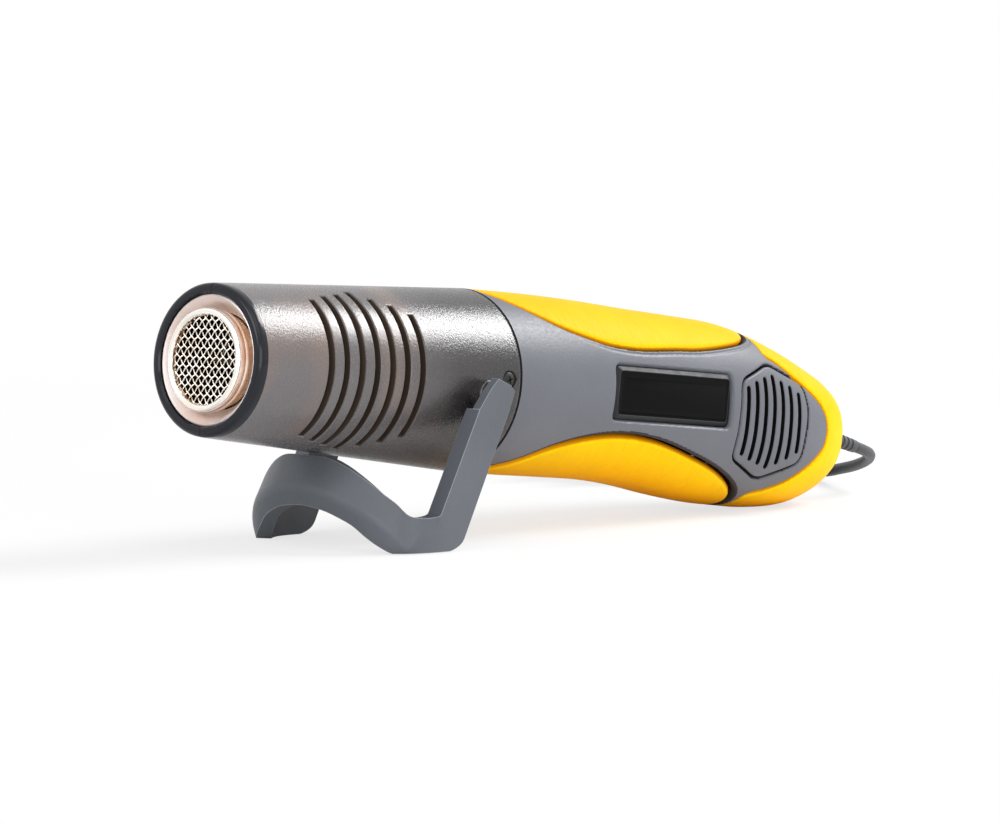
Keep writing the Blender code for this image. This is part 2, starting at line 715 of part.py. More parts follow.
def make_handle(label, side):
    handle = loft("handle_" + label, handle_rings(0.0), "handle_grey", TOOL)
    for name, outline in (("top", top_region), ("bottom", bottom_region), ("rear", rear_region)):
        cut(handle, prism(f"{name}_pocket_{label}", outline(CLEAR), -0.04, 0.04, parent=TOOL))
    core = handle_rings(GRIP_THICK + CLEAR, CROWN[0][0] + 0.0004)
    cut(handle, loft("core_" + label, core, parent=TOOL), "UNION")
    cut(handle, loft("cavity_" + label, handle_rings(HANDLE_WALL, 0.080), parent=TOOL))
    inner, outer = spigot_inner(), spigot_outer()
    ring = [(outer, SPIGOT_END), (outer, SPIGOT_START), (inner, SPIGOT_START), (inner, SPIGOT_END)]
    cut(handle, turned("spigot_" + label, ring, parent=TOOL, steps=36), "UNION")
    cut(handle, side_block("handle_side_" + label, side), "INTERSECT")
    near, far = side * 0.012, side * 0.04
    hexagon = grown_outline(VENT_OUTLINE, CLEAR)
    cut(handle, prism("vent_hole_" + label, hexagon, min(near, far), max(near, far), parent=TOOL))
    cut(handle, relief_hole("relief_hole_" + label))
    cut(handle, screw_hole("spigot_screw_hole_" + label, side))
    return handle


def make_skin(name, outline):
    skin = loft(name, handle_rings(0.0), "grip_yellow", TOOL)
    cut(skin, prism(name + "_outline", outline, -0.04, 0.04, parent=TOOL), "INTERSECT")
    cut(skin, loft(name + "_bed", handle_rings(GRIP_THICK, CROWN[0][0] - 0.01), parent=TOOL))
    return skin


def make_vent_panel(label, side):
    panel = loft("vent_panel_" + label, handle_rings(0.0), "handle_grey", TOOL)
    near, far = sorted((side * 0.012, side * 0.04))
    cut(panel, prism("vent_outline_" + label, VENT_OUTLINE, near, far, parent=TOOL), "INTERSECT")
    cut(panel, loft("vent_bed_" + label, handle_rings(PANEL_THICK, CROWN[0][0] - 0.01), parent=TOOL))
    bm = bmesh.new()
    for i, (top, bottom) in enumerate(zip(VENT_TOPS, VENT_BOTTOMS)):
        left = VENT_FIRST + i * VENT_PITCH - VENT_WIDTH / 2
        right = left + VENT_WIDTH
        outline = [(left, bottom), (left, top), (right, top), (right, bottom)]
        add_loft(bm, [[(x, y, z) for x, z in outline] for y in (near, far)])
    cut(panel, add_object("vent_slots_" + label, mesh_from("vent_slots_" + label, bm), parent=TOOL))


def make_plate(handle):
    plate_back = PLATE_FACE - PLATE_THICK
    half_length, half_height = PLATE_LENGTH / 2, PLATE_HEIGHT / 2
    plate = box(
        "name_plate", (-half_length, -PLATE_THICK, -half_height), (half_length, 0, half_height), "gloss_black", TOOL,
    )
    pocket = box(
        "plate_pocket",
        (-half_length - CLEAR, -0.02, -half_height - CLEAR),
        (half_length + CLEAR, CLEAR, half_height + CLEAR),
        parent=TOOL,
    )
    for obj in (plate, pocket):
        obj.location = (PLATE_X, -plate_back, PLATE_Z)
        obj.rotation_euler = (0, 0, PLATE_TURN)
    cut(handle, pocket)


def make_switch(handle):
    half_length, half_height = SWITCH_LENGTH / 2, SWITCH_HEIGHT / 2
    seat = SWITCH_FACE - SWITCH_FLANGE_THICK
    deep = seat - SWITCH_DEPTH
    flange_x, flange_z = half_length + SWITCH_FLANGE, half_height + SWITCH_FLANGE
    body_x, body_z = half_length + SWITCH_WALL, half_height + SWITCH_WALL
    bezel = box("switch_bezel", (-flange_x, seat, -flange_z), (flange_x, SWITCH_FACE, flange_z), "black_plastic", TOOL)
    body = box("bezel_body", (-body_x, deep, -body_z), (body_x, seat + 0.0002, body_z), parent=TOOL)
    well = box("bezel_well", (-half_length, deep + 0.001, -half_height), (half_length, 0.03, half_height), parent=TOOL)
    trunnion_end = half_height + SWITCH_WALL
    pivot = (0, ROCKER_PIVOT_Y, 0)
    hole = rod(
        "trunnion_hole", (0, ROCKER_PIVOT_Y, -trunnion_end - 0.001), (0, ROCKER_PIVOT_Y, trunnion_end + 0.001),
        TRUNNION_RADIUS + CLEAR, parent=TOOL, segments=16,
    )
    cut(bezel, body, "UNION")
    cut(bezel, well)
    cut(bezel, hole)
    slot = box(
        "switch_slot", (-body_x - CLEAR, deep - 0.004, -body_z - CLEAR), (body_x + CLEAR, 0.03, body_z + CLEAR), parent=TOOL,
    )
    ledge = box(
        "switch_ledge", (-flange_x - CLEAR, seat - CLEAR, -flange_z - CLEAR), (flange_x + CLEAR, 0.03, flange_z + CLEAR),
        parent=TOOL,
    )
    outline = [ring_point(ROCKER_RADIUS, degrees / 360) for degrees in (-15, 0, 16, 32)]
    outline += [(0.0, 0.0034)]
    outline += [ring_point(ROCKER_RADIUS, degrees / 360) for degrees in (148, 164, 180, 195)]
    half = half_height - 2 * CLEAR
    bm = bmesh.new()
    add_loft(bm, [[(x, y, z) for x, y in outline] for z in (-half, half)])
    rocker = add_object("rocker_switch", mesh_from("rocker_switch", bm), "black_plastic", TOOL)
    trunnion = rod(
        "trunnion", (0, 0, -trunnion_end + CLEAR), (0, 0, trunnion_end - CLEAR), TRUNNION_RADIUS, parent=TOOL, segments=16,
    )
    cut(rocker, trunnion, "UNION")
    for obj in (rocker, trunnion):
        obj.location = Vector(pivot) + Vector((SWITCH_X, 0, 0))
        obj.rotation_euler = (0, 0, -ROCKER_TILT)
    for obj in (bezel, body, well, hole, slot, ledge):
        obj.location = (SWITCH_X, 0, 0)
    cut(handle, slot)
    cut(handle, ledge)


def make_board():
    front, back = BOARD_X - BOARD_LENGTH / 2, BOARD_X + BOARD_LENGTH / 2
    low = (front, -BOARD_HALF_WIDTH, BOARD_Z - BOARD_THICK / 2)
    high = (back, BOARD_HALF_WIDTH, BOARD_Z + BOARD_THICK / 2)
    box("circuit_board", low, high, "board_green", TOOL)


def floor_height(back):
    """Height of the table in the tool's own frame."""
    return (back * math.sin(PITCH) - table_drop()) / math.cos(PITCH)


def table_drop():
    """How far the table lies below the nose ring's centre: the handle's lowest point rests on it."""
    fine = smooth_curve([(x, z, 0) for x, z in BELLY], count=241)
    return max(p.x * math.sin(PITCH) - p.y * math.cos(PITCH) for p in fine)


def band_point(angle, depth):
    """A plan point of the stand's front band, a depth inside its outer curve; 90 degrees is the middle."""
    power = 2 / BAND_POWER
    half = STAND_OUTER

    def outer(degrees):
        turn = math.radians(degrees)
        return Vector((BAND_CENTRE - BAND_REACH * math.sin(turn) ** power, half * math.cos(turn) ** power))

    here = outer(angle)
    if angle <= 0:
        inward = Vector((0, -1))
    elif angle >= 90:
        inward = Vector((1, 0))
    else:
        run = (outer(min(angle + 1, 89.9)) - outer(angle - 1 if angle > 1 else 0)).normalized()
        inward = Vector((-run.y, run.x))
    return here + inward * depth


BAND = (
    (0, -0.0361, -0.0408, None), (10, -0.0368, -0.0415, None), (20, -0.0363, -0.0453, None),
    (29, -0.0335, -0.0425, None), (38, -0.0312, -0.0396, -0.0452), (47, -0.0288, -0.0371, -0.0430),
    (56, -0.0266, -0.0354, -0.0403), (65, -0.0246, -0.0339, -0.0385), (75, -0.0231, -0.0323, -0.0370),
    (90, -0.0229, -0.0315, -0.0361),
)
ARM = (
    ((0.0791, 0.0013), (0.0841, -0.0003), EAR_INNER), ((0.0763, -0.0018), (0.0858, -0.0018), EAR_INNER),
    ((0.0726, -0.0072), (0.0841, -0.0073), EAR_INNER), ((0.0726, -0.0073), (0.0841, -0.0074), None),
    ((0.0612, -0.0352), (0.0708, -0.0415), None), ((0.0607, -0.0358), (0.0693, -0.0433), None),
    ((0.0602, -0.0360), (0.0656, "floor"), None),
)


def stand_rings():
    """Five-point sections from the left ear down its arm, along the foot and round to the band's middle."""
    rings = []
    inner = STAND_OUTER - STAND_THICK
    for front, rear, ear in ARM:
        rear_z = floor_height(rear[0]) if rear[1] == "floor" else rear[1]
        near = inner if ear is None else ear
        middle = ((front[0] + rear[0]) / 2, (front[1] + rear_z) / 2)
        outside = STAND_OUTER
        rings.append([
            (*front, outside), (*middle, outside), (rear[0], rear_z, outside), (rear[0], rear_z, near), (*front, near),
        ])
        rings[-1] = [(x, -y, z) for x, z, y in rings[-1]]
    for angle, top, crease, low in BAND:
        share = min(1, angle / 50)
        thick = STAND_THICK + 0.0014 * share
        top_set = 0.0002 + 0.0028 * share
        low_set = 0.0002 + 0.0022 * share
        spots = ((top_set, top), (0.0, crease), (low_set, low), (thick, low), (thick, top))
        ring = []
        for depth, height in spots:
            x, y = band_point(angle, depth)
            ring.append((x, -y, floor_height(x) if height is None else height))
        rings.append(ring)
    return rings


def make_stand():
    half = stand_rings()
    other = [[(x, -y, z) for x, y, z in ring] for ring in reversed(half[:-1])]
    stand = loft("stand", half + other, "stand_grey", TOOL)
    for side in (-1, 1):
        start = (PIVOT_X, side * 0.025, PIVOT_Z)
        end = (PIVOT_X, side * (PIN_OUTER + CLEAR), PIVOT_Z)
        cut(stand, rod(f"ear_bore_{side}", start, end, PIN_RADIUS + CLEAR, parent=TOOL))
    for label, side in SIDES:
        start = (PIVOT_X, side * PIN_INNER, PIVOT_Z)
        end = (PIVOT_X, side * PIN_OUTER, PIVOT_Z)
        rod("stand_pin_" + label, start, end, PIN_RADIUS, "steel", TOOL)


def make_relief():
    """The tapered rubber sleeve round the cord, with a flange inside the handle."""
    profile = [
        (0.0, RELIEF_LENGTH), (RELIEF_TIP, RELIEF_LENGTH), (RELIEF_ROOT, 0.0125), (RELIEF_ROOT, 0.0015),
        (RELIEF_FLANGE, 0.0015), (RELIEF_FLANGE, 0.0), (0.0, 0.0),
    ]
    relief = turned("strain_relief", profile, "cord_grey", TOOL, steps=20)
    start, _ = relief_axis()
    relief.location = start
    relief.rotation_euler = (0, math.pi / 2 + RELIEF_SLOPE, 0)


def on_table(point):
    """A point of the tool's frame in the table's frame, both with the nose ring's centre at X = 0."""
    x, y, z = point
    return Vector((
        x * math.cos(PITCH) + z * math.sin(PITCH), y, z * math.cos(PITCH) - x * math.sin(PITCH) + table_drop(),
    ))


def make_tube(name, points, resolution):
    tube = bpy.data.curves.new(name, "CURVE")
    tube.dimensions = "3D"
    tube.bevel_depth = CORD_RADIUS
    tube.bevel_resolution = resolution
    tube.use_fill_caps = True
    spline = tube.splines.new("POLY")
    spline.points.add(len(points) - 1)
    for slot, point in zip(spline.points, points):
        slot.co = (*point, 1)
    add_object(name, tube, "cord_grey", TABLE)


def coil_points():
    """Turns that spiral in on the table, climb where the spiral turns back, and spiral out on top."""
    turns = 2 * COIL_TURNS_A_LAYER + 0.5
    count = round(turns * COIL_POINTS_A_TURN)
    low = CORD_RADIUS + 0.0002
    points = []
    for i in range(count + 1):
        turn = i * turns / count
        back = COIL_TURNS_A_LAYER + 0.25
        radius = COIL_INNER - COIL_PITCH / 4 + COIL_PITCH * abs(turn - back)
        climb = min(1.0, max(0.0, (turn - COIL_TURNS_A_LAYER) / 0.5))
        x, y = ring_point(radius, turn)
        points.append(Vector((COIL_CENTRE[0] + x, COIL_CENTRE[1] + y, low + COIL_PITCH * climb)))
    return points


def straight_ends(points):
    """Adds one diameter of straight tube at each end of the coil, square to its faces."""
    step = 2 * CORD_RADIUS
    return [points[0] - Vector((0, step, 0)), *points, points[-1] + Vector((0, step, 0))]


def print_coil_gap(points):
    least = 1.0
    away = COIL_POINTS_A_TURN // 2
    for i, first in enumerate(points):
        for second in points[i + away :]:
            least = min(least, (first - second).length)
    gap = least - 2 * CORD_RADIUS
    print(f"least gap between the coil's turns: {1000 * gap:.2f} mm, wanted {1000 * LEAST_COIL_GAP:.1f} mm")


def make_cord():
    start, heading = relief_axis()
    tip = on_table(start + heading * (RELIEF_LENGTH + CLEAR))
    straight = on_table(start + heading * (RELIEF_LENGTH + CLEAR + 2 * CORD_RADIUS))
    coil = straight_ends(coil_points())
    print_coil_gap(coil)
    entry = coil[0] - Vector((0, CLEAR, 0))
    before = entry - Vector((0, 2 * CORD_RADIUS, 0))
    route = [tip, straight, *(Vector(p) for p in CORD_POINTS), before, entry]
    make_tube("cord", smooth_curve(route, spacing=0.0038), 2)
    make_tube("cord_coil", coil, 1)
    leave = coil[-1] + Vector((0, CLEAR, 0))
    top = coil[-1].z
    plug_z = top + CORD_RADIUS + CLEAR + PLUG_THICK / 2
    centre = Vector((COIL_CENTRE[0], COIL_CENTRE[1], 0))
    neck = centre + Vector((PLUG_BACK + CLEAR, PLUG_SHIFT, plug_z))
    inner = [leave + Vector((x, y - 2 * CORD_RADIUS, z)) for x, y, z in TAIL_POINTS]
    tail = [leave, leave + Vector((0, 0.002, 0.0)), *inner, neck + Vector((0.003, 0, 0)), neck]
    make_tube("cord_tail", smooth_curve(tail, spacing=0.0038), 2)
    make_plug(centre + Vector((0, PLUG_SHIFT, plug_z)))


def make_plug(centre):
    """A flat two-pin plug that lies on the coil, pins towards the nozzle."""
    half = PLUG_WIDTH / 2
    neck = 0.0045
    outline = [
        (PLUG_BACK, -neck), (PLUG_BACK, neck), (PLUG_BACK - 0.008, neck + 0.001), (PLUG_BACK - 0.013, 0.011),
        (PLUG_BACK - 0.022, half - 0.0015), (PLUG_BACK - 0.030, half), (PLUG_BACK - PLUG_LENGTH, half),
    ]
    outline += [(x, -y) for x, y in reversed(outline[2:])]
    bm = bmesh.new()
    half_thick = PLUG_THICK / 2
    add_loft(bm, [[(x, y, z) for x, y in outline] for z in (-half_thick, half_thick)])
    plug = add_object("plug_body", mesh_from("plug_body", bm), "black_plastic", TABLE)
    plug.location = centre
    bevel = plug.modifiers.new("round", "BEVEL")
    bevel.width = 0.0015
    bevel.segments = 1
    bevel.limit_method = "ANGLE"
    bevel.angle_limit = math.radians(50)
    face = PLUG_BACK - PLUG_LENGTH
    for label, side in SIDES:
        y = side * PLUG_PIN_SPACING / 2
        root, end = face + PLUG_PIN_SEAT, face - PLUG_PIN_LENGTH
        bore = rod(
            "plug_bore_" + label, (root + CLEAR, y, 0), (face - 0.002, y, 0), PLUG_PIN_RADIUS + CLEAR, parent=TABLE, segments=16,
        )
        bore.location = centre
        cut(plug, bore)
        pin = rod("plug_pin_" + label, (root, y, 0), (end, y, 0), PLUG_PIN_RADIUS, "steel", TABLE, segments=16)
        pin.location = centre


def centre_on_floor(cord_nodes):
    """Moves the whole object until the box of all but the cord's pieces stands centred on the origin."""
    bpy.context.view_layer.update()
    graph = bpy.context.evaluated_depsgraph_get()
    lows, highs = [1.0, 1.0], [-1.0, -1.0]
    for obj in PART.objects:
        if obj.type == "EMPTY" or obj.name in cord_nodes:
            continue
        evaluated = obj.evaluated_get(graph)
        mesh = evaluated.to_mesh()
        for vert in mesh.vertices:
            place = evaluated.matrix_world @ vert.co
            for axis in (0, 1):
                lows[axis] = min(lows[axis], place[axis])
                highs[axis] = max(highs[axis], place[axis])
        evaluated.to_mesh_clear()
    TABLE.location = (-(lows[0] + highs[0]) / 2, -(lows[1] + highs[1]) / 2, 0)
    bpy.context.view_layer.update()


SIDES = (("left", -1), ("right", 1))
CORD_NODES = ("cord", "cord_coil", "cord_tail", "plug_body", "plug_pin_left", "plug_pin_right")

clear_scene()
PART = make_collection("hot_air_tool")
CUTTERS = make_collection("cutters", hidden=True)
TABLE = make_empty("table_frame")
TOOL = make_empty("tool_frame", TABLE)
TOOL.rotation_euler = (0, PITCH, 0)
TOOL.location = (0, 0, table_drop())

for side_label, side_sign in SIDES:
    make_guard(side_label, side_sign)
    make_guard_screw(side_label, side_sign)
make_nozzle()
make_heater()
make_fan()
make_motor()
left_handle = make_handle("left", -1)
right_handle = make_handle("right", 1)
make_skin("top_grip", top_region())
make_skin("bottom_grip", bottom_region())
bumper = make_skin("rear_bumper", rear_region())
cut(bumper, relief_hole("relief_hole_bumper"))
make_vent_panel("left", -1)
make_vent_panel("right", 1)
make_plate(left_handle)
make_switch(right_handle)
make_board()
make_stand()
make_relief()
make_cord()
centre_on_floor(CORD_NODES)
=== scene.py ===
"""Hot air tool on its folding stand, dressed for the render: every length is in metres.

The tool's own frame has X running back from the nose ring along the barrel, Z up and Y sideways.
One matrix tips that frame nose up and sets it on the table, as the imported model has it.
"""

import math

import bmesh
import bpy
import numpy as np
from mathutils import Matrix, Vector


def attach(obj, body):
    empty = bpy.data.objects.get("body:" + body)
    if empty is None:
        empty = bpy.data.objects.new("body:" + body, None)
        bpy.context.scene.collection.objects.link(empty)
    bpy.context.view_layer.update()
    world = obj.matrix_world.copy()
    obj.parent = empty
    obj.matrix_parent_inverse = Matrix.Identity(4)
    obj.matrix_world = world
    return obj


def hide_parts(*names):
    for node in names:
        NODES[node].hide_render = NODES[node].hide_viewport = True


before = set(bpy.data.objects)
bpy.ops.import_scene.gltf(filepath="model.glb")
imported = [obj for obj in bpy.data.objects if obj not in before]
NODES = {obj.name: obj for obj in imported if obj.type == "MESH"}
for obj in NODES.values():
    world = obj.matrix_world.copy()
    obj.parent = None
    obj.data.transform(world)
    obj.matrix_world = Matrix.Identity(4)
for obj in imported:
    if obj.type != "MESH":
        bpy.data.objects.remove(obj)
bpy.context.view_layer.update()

PITCH = math.radians(5.52)
ORIGIN_X = -0.132975
TABLE_DROP = 0.051133
TOOL = Matrix.Translation((ORIGIN_X, 0, TABLE_DROP)) @ Matrix.Rotation(PITCH, 4, "Y")
TABLE = Matrix.Translation((ORIGIN_X, 0, 0))

GUARD_LENGTH = 0.094
NOSE_RADIUS = 0.0200
NECK_RADIUS = 0.0249
GUARD_WALL = 0.0022
NOSE_LIP_INNER = 0.0173
NOSE_LIP_DEPTH = 0.0025
NOSE_ROUND = 0.0012
LIP_ROUND = 0.0004
RING_DEPTH = 0.0031
SLOT_FIRST = 0.0251
SLOT_PITCH = 0.00543
SLOT_WIDTH = 0.0021
SLOT_HALF_ANGLES = (57, 62, 65, 69, 60, 53, 45)
GUARD_SCREW = (0.0897, 0.0012)
GUARD_SCREW_HEAD = 0.0021
SEAM_SHARE = 0.0009

TUBE_RADIUS = 0.0123
TUBE_WALL = 0.0007
TUBE_START = 0.0006
TUBE_END = 0.080
COLLAR_RADIUS = 0.0135
COLLAR_FRONT = -0.0013
COLLAR_DEPTH = 0.0045
MESH_OPENING = 0.0117
WIRE_PITCH = 0.00172
WIRE_RADIUS = 0.00022
SHIELD_RADIUS = 0.0160
SHIELD_WALL = 0.0008
SHIELD_START = 0.007
SHIELD_FLANGE_X = 0.0876
SPIGOT_START = 0.087
SPIGOT_END = 0.0985
SPIGOT_WALL = 0.002

STATIONS = 15
HANDLE_SAMPLES = 720
CROWN = (
    (0.0943, 0.0249), (0.118, 0.0250), (0.137, 0.0246), (0.160, 0.0236), (0.178, 0.0230),
    (0.195, 0.0221), (0.207, 0.0200), (0.2207, 0.0164), (0.2306, 0.0132), (0.2425, 0.0090),
    (0.249, 0.0055), (0.254, 0.0), (0.257, -0.0060), (0.2575, -0.0085),
)
BELLY = (
    (0.0943, -0.0249), (0.111, -0.0251), (0.130, -0.0250), (0.148, -0.0251), (0.1635, -0.0262),
    (0.1793, -0.0282), (0.1948, -0.0297), (0.2069, -0.0301), (0.216, -0.0302), (0.230, -0.0289),
    (0.240, -0.0257), (0.246, -0.0228), (0.252, -0.0185), (0.256, -0.0130), (0.2575, -0.0085),
)
PLAN = (
    (0.0943, 0.0249), (0.120, 0.0243), (0.140, 0.0236), (0.190, 0.0226), (0.210, 0.0215),
    (0.225, 0.0200), (0.237, 0.0172), (0.244, 0.0144), (0.249, 0.0117), (0.253, 0.0087),
    (0.256, 0.0053), (0.2575, 0.0),
)
TOP_EDGE = (
    (0.0962, 0.0246), (0.1002, 0.0229), (0.1068, 0.0201), (0.1152, 0.0170), (0.1256, 0.0146),
    (0.134, 0.0132), (0.146, 0.0127), (0.162, 0.0136), (0.1736, 0.0142), (0.1869, 0.0158),
    (0.1978, 0.0178), (0.2035, 0.0200), (0.2045, 0.0225),
)
BOTTOM_EDGE = (
    (0.0985, -0.0245), (0.1059, -0.0215), (0.1145, -0.0172), (0.1265, -0.0138), (0.1409, -0.0122),
    (0.1563, -0.0132), (0.1738, -0.0170), (0.187, -0.0209), (0.1972, -0.0254), (0.2013, -0.0287),
    (0.2025, -0.0315),
)
REAR_EDGE = (
    (0.2066, 0.0225), (0.2052, 0.0149), (0.2109, 0.0122), (0.2178, 0.0086), (0.2245, 0.0053),
    (0.2304, 0.0019), (0.2341, -0.0024), (0.2349, -0.0064), (0.2335, -0.0108), (0.2292, -0.0147),
    (0.224, -0.0183), (0.2177, -0.0220), (0.2115, -0.0245), (0.2053, -0.0268), (0.2062, -0.0320),
)
VENT_OUTLINE = (
    (0.2042, 0.0114), (0.1903, 0.0062), (0.1893, -0.0157), (0.2038, -0.0213),
    (0.2205, -0.0159), (0.2226, -0.0011), (0.2211, 0.0065),
)
VENT_FIRST = 0.1929
VENT_PITCH = 0.0042
VENT_WIDTH = 0.0018
VENT_TOPS = (0.0050, 0.0066, 0.0079, 0.0087, 0.0072, 0.0060, 0.0043)
VENT_BOTTOMS = (-0.0150, -0.0163, -0.0173, -0.0183, -0.0169, -0.0153, -0.0134)

PLATE_X = 0.1599
PLATE_Z = 0.0002
PLATE_LENGTH = 0.0502
PLATE_HEIGHT = 0.0146
PLATE_THICK = 0.0011
PLATE_FACE = 0.0221
PLATE_TURN = math.radians(1.15)
PLATE_CORNER = 0.0016
PLATE_STEPS = (
    (0.0, -0.0006), (0.0, 0.0001), (0.0003, 0.0004), (0.0011, 0.0011), (0.0013, 0.0010), (0.0015, 0.00095),
    (0.0032, 0.00108),
)

SWITCH_X = 0.160
SWITCH_LENGTH = 0.0182
SWITCH_HEIGHT = 0.0116
SWITCH_FLANGE = 0.0022
SWITCH_FACE = 0.0236
SWITCH_FLANGE_THICK = 0.0014
ROCKER_RADIUS = 0.0086
ROCKER_PIVOT_Y = 0.0185
ROCKER_TILT = math.radians(8)

PIVOT_X = 0.0795
PIVOT_Z = -0.0031
BOSS_RADIUS = 0.0038
BOSS_BORE = 0.0023
EAR_INNER = 0.0276
STAND_OUTER = 0.0303
STAND_THICK = 0.0049
BAND_CENTRE = 0.060
BAND_REACH = 0.0237
BAND_POWER = 2.1
CREASE_ROUND = 0.0018
FIRST_RINGS = 4
LAST_RINGS = 5
BAND = (
    (0, -0.0361, -0.0408, None), (10, -0.0368, -0.0415, None), (20, -0.0363, -0.0453, None),
    (29, -0.0335, -0.0425, None), (38, -0.0312, -0.0396, -0.0452), (47, -0.0288, -0.0371, -0.0430),
    (56, -0.0266, -0.0354, -0.0403), (65, -0.0246, -0.0339, -0.0385), (75, -0.0231, -0.0323, -0.0370),
    (90, -0.0229, -0.0315, -0.0361),
)
ARM = (
    ((0.0791, 0.0013), (0.0841, -0.0003), EAR_INNER), ((0.0763, -0.0018), (0.0858, -0.0018), EAR_INNER),
    ((0.0726, -0.0072), (0.0841, -0.0073), EAR_INNER), ((0.0726, -0.0073), (0.0841, -0.0074), None),
    ((0.0612, -0.0352), (0.0708, -0.0415), None), ((0.0607, -0.0358), (0.0693, -0.0433), None),
    ((0.0602, -0.0360), (0.0656, "floor"), None),
)

RELIEF_START = (0.248, -0.0063)
RELIEF_SLOPE = math.atan2(3.5, 19.2)
RELIEF_LENGTH = 0.0225
RELIEF_ROOT = 0.0022
RELIEF_TIP = 0.0019

CLEAR = 0.0003
CORD_RADIUS = 0.0017
COIL_CENTRE = (0.272, 0.0595)
COIL_INNER = 0.0147
COIL_PITCH = 0.0039
COIL_TURNS_A_LAYER = 4.75
CORD_POINTS = (
    (0.278, 0.0022, 0.0119), (0.284, 0.008, 0.0094), (0.2885, 0.016, 0.0070),
    (0.2935, 0.026, 0.0049), (0.2992, 0.036, 0.0031), (0.3040, 0.046, 0.0022),
)
TAIL_POINTS = (
    (-0.0006, 0.009, 0.0012), (-0.0032, 0.0145, 0.0036), (-0.0077, 0.0182, 0.0062),
    (-0.0137, 0.0198, 0.0082),
)
PLUG_LENGTH = 0.036
PLUG_WIDTH = 0.0353
PLUG_THICK = 0.0137
PLUG_BACK = 0.0120
PLUG_SHIFT = 0.0200
PLUG_STEPS = ((0.0018, 0.0), (0.0006, 0.0005), (0.0, 0.0018))
PLUG_PIN_RADIUS = 0.0020
PLUG_PIN_LENGTH = 0.019
PLUG_PIN_SPACING = 0.0186

SIDES = (("left", -1), ("right", 1))
FAR = 1.0
SHORTEST = 1e-5
CURVE_STEPS = 24
OUTLINE_SPACING = 0.0012
CORNER_SHARE = 2.1
PATCH_CUTS = 3
LEAST_SLOPE = 0.2
CAMERA_ROLL = math.radians(0.96)
CAMERA_DISTANCE = 1.379
WORLD_LIGHT = 0.42


# Curves and small maths


def length_along(line):
    return np.concatenate([[0.0], np.cumsum(np.linalg.norm(np.diff(line, axis=0), axis=1))])


def curve_point(corners, share):
    """A point of the smooth curve through four corners, at a share of the way from the second to the third."""
    a, b, c, d = corners
    knots = [0.0]
    for near, far in ((a, b), (b, c), (c, d)):
        knots.append(knots[-1] + math.sqrt(max((far - near).length, SHORTEST)))
    t0, t1, t2, t3 = knots
    t = t1 + (t2 - t1) * share
    ab = a.lerp(b, (t - t0) / (t1 - t0))
    bc = b.lerp(c, (t - t1) / (t2 - t1))
    cd = c.lerp(d, (t - t2) / (t3 - t2))
    abc = ab.lerp(bc, (t - t0) / (t2 - t0))
    bcd = bc.lerp(cd, (t - t1) / (t3 - t1))
    return abc.lerp(bcd, (t - t1) / (t2 - t1))


def smooth_curve(points, count=None, spacing=None):
    """Reads evenly spaced points from a smooth curve through the given ones."""
    points = [Vector(p) for p in points]
    ends = [2 * points[0] - points[1], *points, 2 * points[-1] - points[-2]]
    spans = zip(ends, ends[1:], ends[2:], ends[3:])
    fine = [curve_point(corners, step / CURVE_STEPS) for corners in spans for step in range(CURVE_STEPS)]
    fine = np.array([*fine, points[-1]])
    along = length_along(fine)
    places = np.linspace(0, along[-1], count or max(2, round(along[-1] / spacing) + 1))
    return np.stack([np.interp(places, along, column) for column in fine.T], axis=1)


def line_through(outline, **how):
    return smooth_curve([(x, z, 0) for x, z in outline], **how)[:, :2]


def ring_point(radius, share):
    return radius * math.cos(math.tau * share), radius * math.sin(math.tau * share)


def guard_radius(back):
    return NOSE_RADIUS + (NECK_RADIUS - NOSE_RADIUS) * back / GUARD_LENGTH


def floor_height(back):
    return (back * math.sin(PITCH) - TABLE_DROP) / math.cos(PITCH)


def on_table(point):
    """A point of the tool's frame in the table's frame, where the nose ring's centre is at X = 0."""
    x, y, z = point
    level = x * math.cos(PITCH) + z * math.sin(PITCH)
    return Vector((level, y, z * math.cos(PITCH) - x * math.sin(PITCH) + TABLE_DROP))


def inside(at, outline):
    """Distance to an outline in side view, positive inside it."""
    x, z = at[:, 0], at[:, 2]
    points = np.asarray(outline, float)
    nearest = np.full(x.shape, FAR)
    within = np.zeros(x.shape, bool)
    for (ax, az), (bx, bz) in zip(points, np.roll(points, -1, axis=0)):
        ex, ez = bx - ax, bz - az
        length = ex * ex + ez * ez
        if length == 0:
            continue
        share = np.clip(((x - ax) * ex + (z - az) * ez) / length, 0, 1)
        nearest = np.minimum(nearest, np.hypot(x - ax - share * ex, z - az - share * ez))
        if az != bz:
            crosses = (az > z) != (bz > z)
            within ^= crosses & (x < ax + (z - az) * ex / ez)
    return np.where(within, nearest, -nearest)


def corner_curve(before, corner, after, steps):
    """A small curve from before to after that bends towards the corner."""
    shares = [i / steps for i in range(steps + 1)]
    return [before.lerp(corner, t).lerp(corner.lerp(after, t), t) for t in shares]


def rounded(outline, radius, steps=5):
    """Replaces each corner of a closed outline by a small curve."""
    points = [Vector(p) for p in outline]
    made = []
    for before, corner, after in zip([points[-1], *points[:-1]], points, [*points[1:], points[0]]):
        ends = [
            corner + (side - corner).normalized() * min(radius, (side - corner).length / CORNER_SHARE)
            for side in (before, after)
        ]
        made += map(tuple, corner_curve(ends[0], corner, ends[1], steps))
    return made


def box_corners(half_x, half_z, centre_x=0.0, centre_z=0.0):
    return [(centre_x + a * half_x, centre_z + b * half_z) for a, b in ((-1, -1), (1, -1), (1, 1), (-1, 1))]


